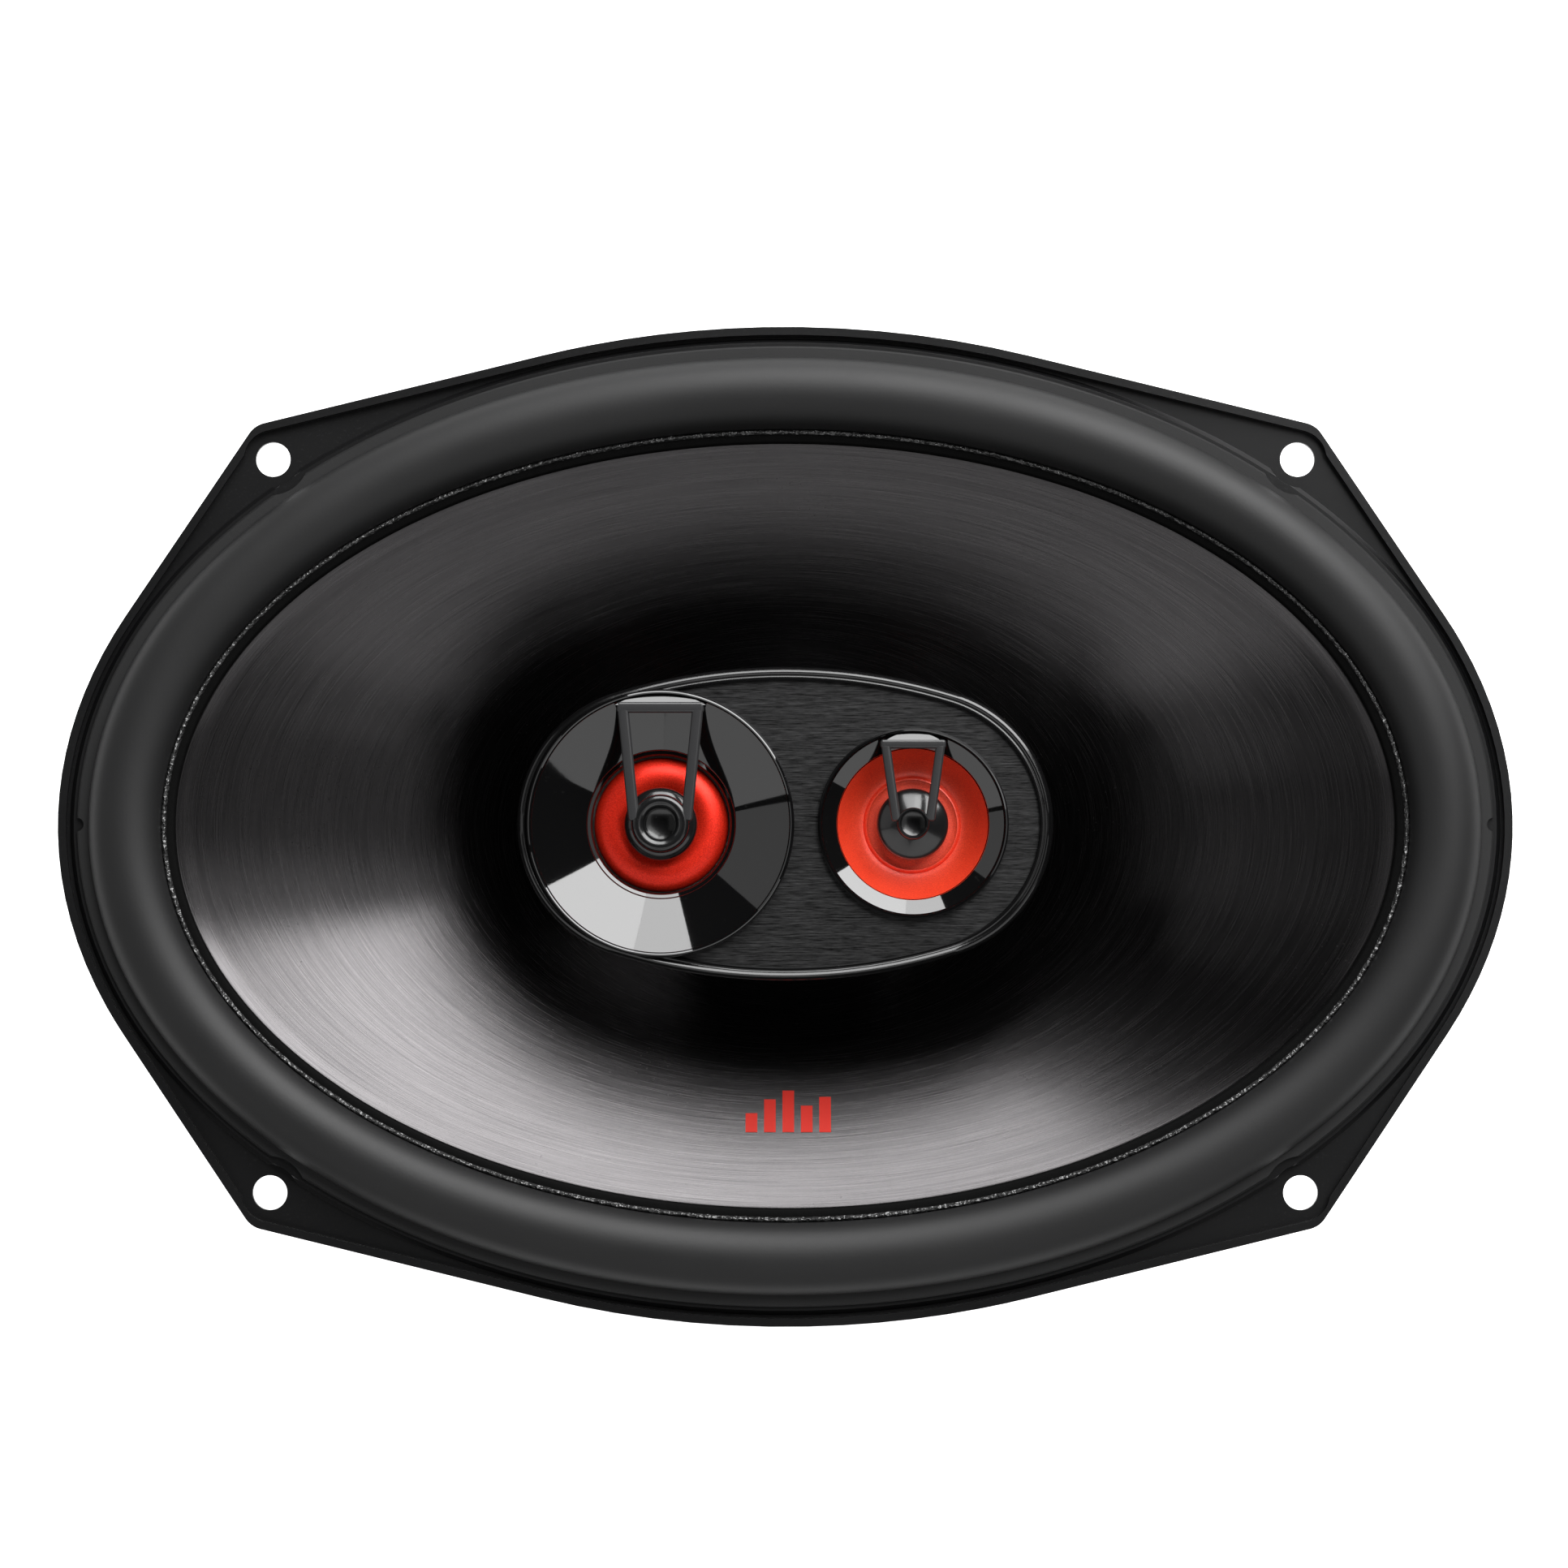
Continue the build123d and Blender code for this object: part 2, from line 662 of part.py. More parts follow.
def make_tweeter_bezel():
    r, z = tweeter_bezel_radius, face_z
    return turned([
        (r, z), (r, z + 1.0), (r - 0.25, z + 1.5), (r - 0.5, z + 1.5),
        (r - 0.7, z + tweeter_bridge_seat), (r - 1.0, z + tweeter_bridge_seat),
        (r - 3.2, z - 2.6), (r - 3.2, z - 4.6), (r - 5.0, z - 6.0),
        (r - 5.0, z - 11.5), (r - 3.8, z - 11.5), (r - 3.8, z - 5.6), (r - 1.0, z - 4.2), (r - 1.0, z),
    ], tweeter_x)


def bridge(x, reach, top_half, bar, ring_radius, low, high):
    """Two tapered legs, a cross bar and the filled segment behind it, moulded in one."""
    bar_y = sqrt(reach**2 - top_half**2) - 0.3
    foot = ring_radius - bar
    inner_half = top_half - 1.5 * bar
    outer = Polygon(
        (top_half, bar_y), (-top_half, bar_y), (-foot - bar, 0.4), (foot + bar, 0.4), align=None
    )
    inner = Polygon(
        (inner_half, bar_y - bar), (-inner_half, bar_y - bar), (-foot, 0.0), (foot, 0.0), align=None
    )
    segment = Circle(reach) - Pos(0, bar_y - bar / 2 - reach) * Rectangle(4 * reach, 2 * reach)
    shape = outer - inner + segment
    return Pos(x, 0, low) * extrude(shape - Circle(ring_radius - bar), high - low)


def make_midrange_plug():
    z = face_z
    plug = turned([
        (0.0, z - 2.6), (5.9, z - 2.6), (5.9, z - 1.6), (5.4, z - 0.7), (4.6, z - 0.4), (4.6, z + 1.4),
        (4.0, z + 2.1), (3.2, z + 2.1), (2.5, z + 1.5), (2.4, z - 0.4), (0.0, z - 0.6),
    ], midrange_x)
    reach = midrange_bezel_radius - 1.45
    low = z + bridge_seat
    return plug + bridge(midrange_x, reach, 7.2, 1.25, 4.6, low, low + bridge_thickness)


def make_tweeter_plug():
    z = face_z
    dome = turned_skin([(0.0, z + 0.2), (2.4, z - 0.4), (4.4, z - 2.0), (5.7, z - 4.6)], 1.0, tweeter_x)
    ring = tube(2.55, 1.95, z - 1.2, z + 1.6, tweeter_x)
    reach = tweeter_bezel_radius - 0.72
    low = z + tweeter_bridge_seat
    return dome + ring + bridge(tweeter_x, reach, 5.3, 1.0, 2.55, low, low + bridge_thickness)


def make_midrange_dome():
    z = face_z
    line = [(0.0, z - 5.2), (3.0, z - 5.0), (6.0, z - 4.2), (8.2, z - 3.9), (10.0, z - 4.8), (10.9, z - 6.4)]
    return turned_skin(line, 0.35, midrange_x)


def make_tweeter_dome():
    z = face_z
    line = [(0.0, z - 6.1), (5.6, z - 6.0), (7.4, z - 6.2), (8.0, z - 6.7), (9.6, z - 5.9), (12.0, z - 3.1)]
    return turned_skin(line, 0.35, tweeter_x)


def small_motor(x, coil_radius, top_z, cup_radius, depth, dome_z):
    """Cup, magnet and pole plate of a small driver, and the coil that hangs from its dome."""
    floor_z = top_z - depth
    cup = disc(cup_radius, floor_z, top_z, x) - disc(coil_radius + 0.7, floor_z + 1.5, top_z + 1, x)
    magnet = disc(coil_radius - 1.0, floor_z + 1.5, top_z - 2.0, x)
    pole = disc(coil_radius - 0.6, top_z - 2.0, top_z, x)
    winding = tube(coil_radius + 0.25, coil_radius - 0.25, top_z - 2.4, dome_z, x)
    return cup, magnet, pole, winding


# ---------------------------------------------------------------- stem and fastenings
def make_stem():
    """Hollow post: shank through the pole, shoulder on it, flange under the pod."""
    flange_low = pod_floor_z - stem_flange_thickness
    end_z = back_plate_z + 0.2
    stem = turned([
        (stem_bore_radius, end_z), (stem_shank_radius, end_z), (stem_shank_radius, pole_top_z),
        (stem_radius, pole_top_z), (stem_radius, flange_low - 3.0), (stem_flange_radius, flange_low),
        (stem_flange_radius, pod_floor_z), (stem_bore_radius, pod_floor_z),
    ])
    for x in pod_screw_places():
        stem -= disc(stem_screw_radius, flange_low - 4, pod_floor_z + 1, x)
        stem -= disc(stem_screw_radius + 1.2, flange_low - 4, flange_low, x)
    return stem


def make_pod_screws():
    screws = []
    low = pod_floor_z - stem_flange_thickness
    for x in pod_screw_places():
        shank = disc(stem_screw_radius, low, pod_floor_z + pod_wall - 0.2, x)
        head = disc(stem_screw_radius + 1.1, low - 1.6, low, x)
        slot = disc(0.8, low - 2, low - 0.8, x)
        screws.append(shank + head - slot)
    return Compound(screws)


def make_stem_washer():
    top = back_plate_z + nut_recess_depth
    return tube(nut_recess_radius - 1.0, stem_shank_radius + 0.1, top - washer_thickness, top)


def make_stem_nut():
    top = back_plate_z + nut_recess_depth - washer_thickness
    hexagon = Plane.XY.offset(top - nut_thickness) * RegularPolygon(nut_across_flats / 2, 6, major_radius=False)
    return extrude(hexagon, nut_thickness) - disc(stem_shank_radius, top - nut_thickness - 1, top + 1)


# ---------------------------------------------------------------- terminals
def make_board():
    half = board_width / 2
    board = block(-half, half, board_y, tab_y, board_bottom_z, board_top_z)
    board = fillet(board.edges().filter_by(Axis.Y), 2.0)
    board += block(-1.0, 1.0, board_y - 1.6, board_y, board_bottom_z, board_top_z - 3)
    for x in (-lug_spacing / 2, lug_spacing / 2):
        board -= Pos(x, board_y, lug_z) * Rot(90, 0, 0) * Cylinder(lug_radius, 8)
    return board


def make_blade(x, width):
    """Flat push-on blade, riveted to the board and pointing down."""
    low = board_bottom_z - blade_reach
    y0, y1 = board_y - blade_thickness, board_y
    side = 1 if x > 0 else -1
    outer = side * (lug_spacing / 2 + lug_radius + 1.4)
    blade = block(x - width / 2, x + width / 2, y0, y1, low, lug_z + 3)
    blade = chamfer(blade.edges().filter_by(Axis.Y).group_by(Axis.Z)[0], 1.2)
    blade += block(min(x, outer), max(x, outer), y0, y1, lug_z - 3, lug_z + 3)
    blade -= Pos(side * lug_spacing / 2, board_y, lug_z) * Rot(90, 0, 0) * Cylinder(lug_radius, 8)
    return blade - Pos(x, board_y, low + 3.6) * Rot(90, 0, 0) * Cylinder(0.9, 8)


def make_lugs():
    """Hollow rivets that hold the blades and take the leads on the inside."""
    lugs = []
    for x in (-lug_spacing / 2, lug_spacing / 2):
        turn = Pos(x, 0, lug_z) * Rot(90, 0, 0)
        front, back = -(board_y - blade_thickness), -(lug_y + lug_tail)
        shank = turn * Pos(0, 0, (front + back) / 2) * Cylinder(lug_radius, front - back)
        head = turn * Pos(0, 0, front + 0.4) * Cylinder(lug_radius + 1.0, 0.8)
        lugs.append(shank + head)
    return Compound(lugs)


def make_capacitor(side):
    """Tinned-lead capacitor that stands beside the magnet."""
    x, y = capacitor_place(side)
    top = capacitor_top_z
    can = disc(capacitor_radius, top - capacitor_length, top, x, y)
    can = fillet(can.edges().filter_by(GeomType.CIRCLE), 0.8)
    low = top - capacitor_length
    return can + disc(0.4, top, top + pin_length, x, y) + disc(0.4, low - pin_length, low, x, y)


def capacitor_place(side):
    reach = max(boot_radius, pan_radius) + 0.5 + capacitor_radius
    t = radians(capacitor_angle)
    return side * reach * cos(t), -reach * sin(t)


def make_pads():
    """Adhesive pads between the capacitors and the basket's pan."""
    pads = []
    low, high = pan_bottom_z + 0.6, capacitor_top_z - 1.0
    skin = oval_loft(bowl_skin(), ruled=True)
    for side in (-1, 1):
        x, y = capacitor_place(side)
        t = atan2(y, x)
        reach = sqrt(x * x + y * y) - 1.5
        pad = Rot(0, 0, degrees(t)) * block(pan_radius - 6, reach, -2.5, 2.5, low, high)
        pads.append(pad - skin - disc(capacitor_radius, low - 5, high + 5, x, y))
    return Compound([p.solids().sort_by(SortBy.VOLUME)[-1] for p in pads])


# ---------------------------------------------------------------- wires
def lead_points(side):
    """Braided lead from a lug, slack over the spider, up into its eyelet under the cone."""
    lug_x, eye_x = side * lug_spacing / 2, side * eyelet_spacing / 2
    start_y = lug_y + lug_tail
    end_z = eyelet_base_z()
    return [
        (lug_x, start_y, lug_z),
        (lug_x, start_y + 6.0, lug_z),
        (lug_x + side * 0.4, start_y + 14.5, lug_z - 3.2),
        (lug_x, start_y + 24.0, lug_z - 6.4),
        (eye_x + side * 0.8, start_y + 33.0, lug_z - 7.6),
        (eye_x + side * 0.2, -eyelet_reach - 3.2, end_z - 3.6),
        (eye_x, -eyelet_reach, end_z - 2.8),
        (eye_x, -eyelet_reach, end_z),
    ]


def stem_run(lane):
    """The shared end of each pod wire: boot channel, under the nut, up the stem."""
    return [
        (lane, channel_y, back_plate_z + 3.6),
        (lane, channel_y + 0.3, channel_back_z + 1.9),
        (lane, channel_y + 2.2, channel_back_z + 0.3),
        (lane, channel_y + 6.0, channel_back_z),
        (lane, -boot_radius / 2, channel_back_z + 0.05),
        (lane, -7.0, channel_back_z),
        (lane, -3.2, channel_back_z + 0.4),
        (lane, -1.5, channel_back_z + 2.6),
        (lane, -1.2, back_plate_z + 10),
        (lane, -0.9, (back_plate_z + pod_floor_z) / 2),
        (lane, -1.2, pod_floor_z - 6),
    ]


def capacitor_wire(side, lane):
    """From a capacitor's lower pin, round the boot, into the channel and up to the pod."""
    x, y = capacitor_place(side)
    low = capacitor_top_z - capacitor_length - pin_length
    out = -(boot_radius + 1.8)
    tip_z = pod_floor_z + pod_wall
    return [
        (x, y, low),
        (x, y, low - 1.5),
        (x - side * 1.4, y - 0.5, low - 3.4),
        (x - side * 5.0, out + 0.9, low - 4.8),
        (lane + side * 5.6, out, low - 5.0),
        (lane + side * 0.4, out + 0.4, low - 6.8),
        (lane, channel_y - 0.3, low - 10.4),
    ] + stem_run(lane) + [
        (lane + side * 0.4, -0.6, tip_z + 0.6),
        (side * 4.2, 0.5, tip_z + 1.7),
        (side * 7.0, 0.4, tip_z + 1.6),
    ]


def common_wire(lane):
    """From the negative lug down the magnet, through the boot's channel and up to the pod."""
    x = lug_spacing / 2
    return [
        (x, lug_y + 1.1, lug_z - lug_radius),
        (x, lug_y + 1.1, lug_z - lug_radius - 3.0),
        (x - 1.4, lug_y + 2.2, lug_z - 9.0),
        (x - 4.8, lug_y + 4.6, board_bottom_z - 5.0),
        (lane + 2.5, -(boot_radius + 5.4), ledge_z - 8.5),
        (lane + 0.4, -(boot_radius + 1.6), magnet_front_z + 2.5),
        (lane, channel_y - 0.5, magnet_front_z - 3.5),
        (lane, channel_y - 0.1, magnet_front_z - 10.0),
    ] + stem_run(lane) + [
        (lane + 0.1, -0.7, pod_floor_z + pod_wall + 1.6),
    ]


def capacitor_jumper(side):
    """Positive lug to a capacitor's upper pin."""
    x, y = capacitor_place(side)
    high = capacitor_top_z + pin_length
    lug_x = -lug_spacing / 2
    if side < 0:
        return [
            (lug_x - 0.2, lug_y + 1.1, lug_z - lug_radius),
            (lug_x - 0.2, lug_y + 1.1, lug_z - lug_radius - 2.6),
            (lug_x - 1.6, lug_y + 2.6, lug_z - 8.0),
            (x + 0.6, y - 2.2, high + 4.4),
            (x, y, high + 1.6),
            (x, y, high),
        ]
    return [
        (lug_x + lug_radius, lug_y + 1.1, lug_z),
        (lug_x + lug_radius + 2.4, lug_y + 1.1, lug_z),
        (lug_x + 8.0, lug_y + 1.6, lug_z - 5.6),
        (1.0, lug_y + 2.4, lug_z - 12.0),
        (x - 8.0, y - 7.0, high + 6.0),
        (x - 1.6, y - 2.2, high + 4.0),
        (x, y, high + 1.6),
        (x, y, high),
    ]


# ---------------------------------------------------------------- the whole speaker
def build():
    mid_cup, mid_magnet, mid_pole, mid_winding = small_motor(
        midrange_x, 8.2, face_z - 7.6, midrange_bezel_radius - 10.9, 7.0, face_z - 4.33)
    high_cup, high_magnet, high_pole, high_winding = small_motor(
        tweeter_x, 6.4, face_z - 9.0, tweeter_bezel_radius - 5.1, 5.6, face_z - 6.4)
    return {
        "basket": make_basket(),
        "motor_rivets": make_motor_rivets(),
        "surround": make_surround(),
        "spider": make_spider(),
        "woofer_cone": make_cone(),
        "coil_former": make_former(),
        "coil_winding": make_winding(),
        "lead_eyelets": make_eyelets(),
        "top_plate": make_top_plate(),
        "ferrite_magnet": make_magnet(),
        "yoke": make_yoke(),
        "magnet_boot": make_boot(),
        "pod_stem": make_stem(),
        "stem_washer": make_stem_washer(),
        "stem_nut": make_stem_nut(),
        "pod_screws": make_pod_screws(),
        "pod_housing": make_pod_housing(),
        "pod_face_plate": make_face_plate(),
        "midrange_bezel": make_midrange_bezel(),
        "midrange_phase_plug": make_midrange_plug(),
        "midrange_dome": make_midrange_dome(),
        "midrange_winding": mid_winding,
        "midrange_cup": mid_cup,
        "midrange_magnet": mid_magnet,
        "midrange_pole_plate": mid_pole,
        "tweeter_bezel": make_tweeter_bezel(),
        "tweeter_phase_plug": make_tweeter_plug(),
        "tweeter_dome": make_tweeter_dome(),
        "tweeter_winding": high_winding,
        "tweeter_cup": high_cup,
        "tweeter_magnet": high_magnet,
        "tweeter_pole_plate": high_pole,
        "terminal_board": make_board(),
        "positive_blade": make_blade(-blade_spacing / 2, positive_blade_width),
        "negative_blade": make_blade(blade_spacing / 2, negative_blade_width),
        "terminal_rivets": make_lugs(),
        "midrange_capacitor": make_capacitor(-1),
        "tweeter_capacitor": make_capacitor(1),
        "capacitor_pads": make_pads(),
        "positive_lead": cord(lead_points(-1), lead_radius),
        "negative_lead": cord(lead_points(1), lead_radius),
        "midrange_wire": cord(capacitor_wire(-1, -wire_pitch), wire_radius),
        "tweeter_wire": cord(capacitor_wire(1, wire_pitch), wire_radius),
        "common_wire": cord(common_wire(0.0), wire_radius),
        "midrange_jumper": cord(capacitor_jumper(-1), wire_radius),
        "tweeter_jumper": cord(capacitor_jumper(1), wire_radius),
    }


def write(pieces):
    os.makedirs("parts", exist_ok=True)
    for name, piece in pieces.items():
        export_step(piece, f"parts/{name}.step")


write(build())
print("bolt hole centre", [round(v, 3) for v in bolt_hole()])
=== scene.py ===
import json
import math
import bpy
import numpy as np
from mathutils import Matrix, Vector


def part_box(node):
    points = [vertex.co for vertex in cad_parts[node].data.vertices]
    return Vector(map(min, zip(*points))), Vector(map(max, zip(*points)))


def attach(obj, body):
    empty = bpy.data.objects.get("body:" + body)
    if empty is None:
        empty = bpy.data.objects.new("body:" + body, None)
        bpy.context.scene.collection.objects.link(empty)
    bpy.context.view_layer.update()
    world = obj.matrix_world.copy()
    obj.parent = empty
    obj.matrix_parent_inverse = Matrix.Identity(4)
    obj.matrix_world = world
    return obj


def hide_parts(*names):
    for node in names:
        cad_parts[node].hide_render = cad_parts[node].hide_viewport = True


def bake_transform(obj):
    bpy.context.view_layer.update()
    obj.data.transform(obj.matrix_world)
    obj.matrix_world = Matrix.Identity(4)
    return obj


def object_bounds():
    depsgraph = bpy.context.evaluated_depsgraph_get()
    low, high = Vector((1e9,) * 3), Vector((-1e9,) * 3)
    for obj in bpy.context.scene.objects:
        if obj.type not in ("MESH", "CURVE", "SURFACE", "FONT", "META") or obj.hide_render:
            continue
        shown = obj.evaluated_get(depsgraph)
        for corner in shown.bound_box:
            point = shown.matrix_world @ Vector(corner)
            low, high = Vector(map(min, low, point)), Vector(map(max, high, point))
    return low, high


# A six by nine coaxial car speaker, face up. The frame holds its CAD pieces; the ones that show get their
# finished shape here, the rest get their finish. Sizes are in millimetres and are turned to metres on use.
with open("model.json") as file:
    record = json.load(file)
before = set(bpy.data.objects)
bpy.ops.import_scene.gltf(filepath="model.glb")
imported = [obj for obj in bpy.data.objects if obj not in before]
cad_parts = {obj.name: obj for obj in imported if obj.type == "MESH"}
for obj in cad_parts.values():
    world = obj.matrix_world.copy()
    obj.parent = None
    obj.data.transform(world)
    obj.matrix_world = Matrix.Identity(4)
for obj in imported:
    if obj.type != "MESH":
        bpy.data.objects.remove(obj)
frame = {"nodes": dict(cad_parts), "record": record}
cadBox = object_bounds()
mm = 0.001


def nodeBox(node):
    low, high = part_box(node)
    return low / mm, high / mm


def middle(node):
    low, high = nodeBox(node)
    return (low.x + high.x) / 2, (low.y + high.y) / 2


# Where things are, read from the CAD pieces.
rimTop = nodeBox("basket")[1].z
surroundLow, surroundHigh = nodeBox("surround")
plateTop = nodeBox("pod_face_plate")[1].z
podLow, podHigh = nodeBox("pod_housing")
coneLow, coneHigh = nodeBox("woofer_cone")
coneTop = coneHigh.z
midrangeSpot = middle("midrange_bezel")
tweeterSpot = middle("tweeter_bezel")
midrangeRadius = nodeBox("midrange_bezel")[1].x - midrangeSpot[0]
tweeterRadius = nodeBox("tweeter_bezel")[1].x - tweeterSpot[0]
floorHeight = cadBox[0].z
print("frame loaded,", len(frame["nodes"]), "CAD pieces")


# The camera looks straight down on the cone, a little from the terminals' side.
view = {"distance": 750, "tilt": 2.3, "aimX": -0.2, "aimY": 6.6, "aimZ": 2, "width": 253.5, "sensor": 36}


def placeCamera():
    tilt = math.radians(view["tilt"])
    aim = Vector((view["aimX"], view["aimY"], view["aimZ"])) * mm
    back = Vector((0, -math.sin(tilt), math.cos(tilt)))
    bpy.ops.object.camera_add(location=aim + back * view["distance"] * mm)
    camera = bpy.context.object
    camera.name = "Camera"
    camera.rotation_mode = "QUATERNION"
    camera.rotation_quaternion = (-back).to_track_quat("-Z", "Y")
    camera.data.sensor_width = view["sensor"]
    camera.data.lens = view["sensor"] * view["distance"] / view["width"]
    camera.data.clip_start, camera.data.clip_end = 0.01, 20
    bpy.context.scene.camera = camera


# Studio lights: panels that stand round the speaker, each at an azimuth (0 is +X, 90 is +Y), and four
# overhead strips. low and high are heights over the frame, and glow is a panel's brightness.
panels = {
    "Key panel": {"azimuth": 57.5, "distance": 700, "wide": 640, "low": 200, "high": 1250, "glow": 9.3},
    "Key side": {"azimuth": 94.5, "distance": 752, "wide": 330, "low": 200, "high": 1150, "glow": 7.4},
    "Front card": {"azimuth": 300, "distance": 700, "wide": 1000, "low": 280, "high": 740, "glow": 1.12},
    "Left card": {"azimuth": 227.3, "distance": 700, "wide": 1060, "low": 280, "high": 740, "glow": 1.05},
    "Side card": {"azimuth": 163, "distance": 700, "wide": 620, "low": 200, "high": 620, "glow": 0.6},
}
strips = {
    "Back strip": {"azimuth": 50, "elevation": 64, "distance": 1100, "wide": 620, "tall": 240, "glow": 1.5},
    "Front strip": {
        "azimuth": 270, "elevation": 60, "distance": 1100, "wide": 1200, "tall": 240, "glow": 1.3},
    "Right strip": {
        "azimuth": 0, "elevation": 57, "distance": 1100, "wide": 900, "tall": 420, "glow": 0.55},
    "Left strip": {
        "azimuth": 180, "elevation": 57, "distance": 1100, "wide": 700, "tall": 420, "glow": 0.2},
}


def areaLight(name, spot, facing, wide, tall, glow):
    bpy.ops.object.light_add(type="AREA", location=spot * mm)
    light = bpy.context.object
    light.name = name
    light.rotation_mode = "QUATERNION"
    light.rotation_quaternion = facing.to_track_quat("Z", "Y")
    light.data.shape = "RECTANGLE"
    light.data.size, light.data.size_y = wide * mm, tall * mm
    light.data.energy = glow * math.pi * wide * tall * mm * mm


def placeLights():
    for name, box in panels.items():
        turn = math.radians(box["azimuth"])
        out = Vector((math.cos(turn), math.sin(turn), 0))
        spot = out * box["distance"] + Vector((0, 0, (box["low"] + box["high"]) / 2))
        areaLight(name, spot, out, box["wide"], box["high"] - box["low"], box["glow"])
    for name, box in strips.items():
        turn, rise = math.radians(box["azimuth"]), math.radians(box["elevation"])
        out = Vector((math.cos(turn) * math.cos(rise), math.sin(turn) * math.cos(rise), math.sin(rise)))
        areaLight(name, out * box["distance"], out, box["wide"], box["tall"], box["glow"])


# One socket of a material, so that shader maths reads as plain expressions.
class Sock:
    def __init__(self, finish, socket):
        self.finish, self.socket = finish, socket

    def maths(self, operation, *values):
        return self.finish.node("ShaderNodeMath", {"operation": operation}, *values)

    def __add__(self, other):
        return self.maths("ADD", self, other)

    def __radd__(self, other):
        return self.maths("ADD", other, self)

    def __sub__(self, other):
        return self.maths("SUBTRACT", self, other)

    def __rsub__(self, other):
        return self.maths("SUBTRACT", other, self)

    def __mul__(self, other):
        return self.maths("MULTIPLY", self, other)

    def __rmul__(self, other):
        return self.maths("MULTIPLY", other, self)

    def __truediv__(self, other):
        return self.maths("DIVIDE", self, other)

    def __pow__(self, other):
        return self.maths("POWER", self, other)

    def limited(self):
        return self.maths("MAXIMUM", self.maths("MINIMUM", self, 1.0), 0.0)


# A material in the making. node() adds any node: its type, its settings, then the values of its inputs.
class Finish:
    def __init__(self, name):
        self.material = bpy.data.materials.new(name)
        self.material.use_nodes = True
        self.tree = self.material.node_tree
        self.tree.nodes.clear()

    def node(self, kind, settings=None, *values, take=0, **named):
        made = self.tree.nodes.new(kind)
        for key, value in (settings or {}).items():
            setattr(made, key, value)
        inputs = [s for s in made.inputs if s.enabled]
        pairs = list(zip(inputs, values))
        pairs += [(made.inputs[k.replace("_", " ")], v) for k, v in named.items()]
        for socket, value in pairs:
            if isinstance(value, Sock):
                self.tree.links.new(value.socket, socket)
            elif value is not None:
                socket.default_value = value
        outputs = [s for s in made.outputs if s.enabled]
        return Sock(self, outputs[take]) if outputs else made

    def place(self, centre=(0, 0, 0), stretch=(1, 1, 1), turn=0.0):
        spot = self.node("ShaderNodeTexCoord", None, take=3)
        start, spin = [c * mm for c in centre], (0, 0, math.radians(turn))
        moved = self.node("ShaderNodeMapping", {"vector_type": "TEXTURE"}, spot, start, spin, (1, 1, 1))
        return self.node("ShaderNodeVectorMath", {"operation": "MULTIPLY"}, moved, stretch)

    def axes(self, vector):
        parts = self.tree.nodes.new("ShaderNodeSeparateXYZ")
        self.tree.links.new(vector.socket, parts.inputs[0])
        return [Sock(self, s) for s in parts.outputs]

    def noise(self, vector, scale, detail=3.0, rough=0.5):
        return self.node("ShaderNodeTexNoise", None, vector, Scale=scale, Detail=detail, Roughness=rough)

    def blendColours(self, factor, first, second):
        return self.node("ShaderNodeMix", {"data_type": "RGBA"}, factor, (*first, 1), (*second, 1))

    def bump(self, height, strength, depth):
        return self.node("ShaderNodeBump", None, Strength=strength, Distance=depth * mm, Height=height)

    def finish(self, **sockets):
        shader = self.node("ShaderNodeBsdfPrincipled", None, **sockets)
        self.node("ShaderNodeOutputMaterial", None, shader)
        return self.material


def wave(finish, value, amount=1.0):
    return finish.node("ShaderNodeMath", {"operation": "SINE"}, value) * amount


# Gloss black mouldings: fine orange peel, a few soft hairlines and a breath of dust.
glossBlack = {"colour": (0.0022, 0.0022, 0.0023), "dust": (0.012, 0.012, 0.012)}


def makeGlossBlack(name, rough, peel, shade=1.0, coat=0.6):
    f = Finish(name)
    spot = f.place()
    dust = f.noise(spot, 900, 4.0, 0.6)
    cloud = f.noise(spot, 60, 2.0)
    hair = f.noise(f.place(stretch=(1, 9, 9), turn=31), 260, 2.0)
    specks = ((dust - 0.66) * 9).limited()
    return f.finish(
        Base_Color=f.blendColours(
            specks * 0.5, [c * shade for c in glossBlack["colour"]], glossBlack["dust"]),
        Roughness=rough + cloud * 0.03 + specks * 0.12 + ((hair - 0.62) * 3).limited() * 0.06,
        Specular_IOR_Level=0.5,
        Coat_Weight=coat,
        Coat_Roughness=0.03,
        Normal=f.bump(f.noise(spot, 420, 2.0), peel, 0.25),
    )


# Stoved black enamel on the pressed steel.
def makeEnamel():
    f = Finish("Black enamel")
    spot = f.place()
    peel = f.noise(spot, 520, 3.0, 0.55)
    broad = f.noise(spot, 24, 2.0)
    grit = ((f.noise(spot, 2600, 2.0) - 0.60) * 6).limited()
    return f.finish(
        Base_Color=f.blendColours(broad, (0.0035, 0.0035, 0.0037), (0.0065, 0.0065, 0.0068)),
        Roughness=0.26 + broad * 0.08 + grit * 0.10,
        Specular_IOR_Level=0.42,
        Normal=f.bump(peel + grit * 0.3, 0.07, 0.10),
    )


# Satin butyl of the surround, with a fine skin and a faint bloom.
def makeRubber(name, rough=0.36, shade=0.011, grain=0.16):
    f = Finish(name)
    spot = f.place()
    skin = f.noise(spot, 1500, 4.0, 0.6)
    bloom = f.noise(spot, 36, 3.0)
    pores = f.node("ShaderNodeTexVoronoi", {"feature": "F1"}, spot, Scale=1900)
    return f.finish(
        Base_Color=f.blendColours(
            bloom, (shade, shade, shade * 1.03), (shade * 1.9, shade * 1.9, shade * 1.95)),
        Roughness=rough + bloom * 0.10 + skin * 0.06,
        Specular_IOR_Level=0.36,
        Normal=f.bump(skin * 0.6 + pores * 0.5, grain, 0.10),
    )


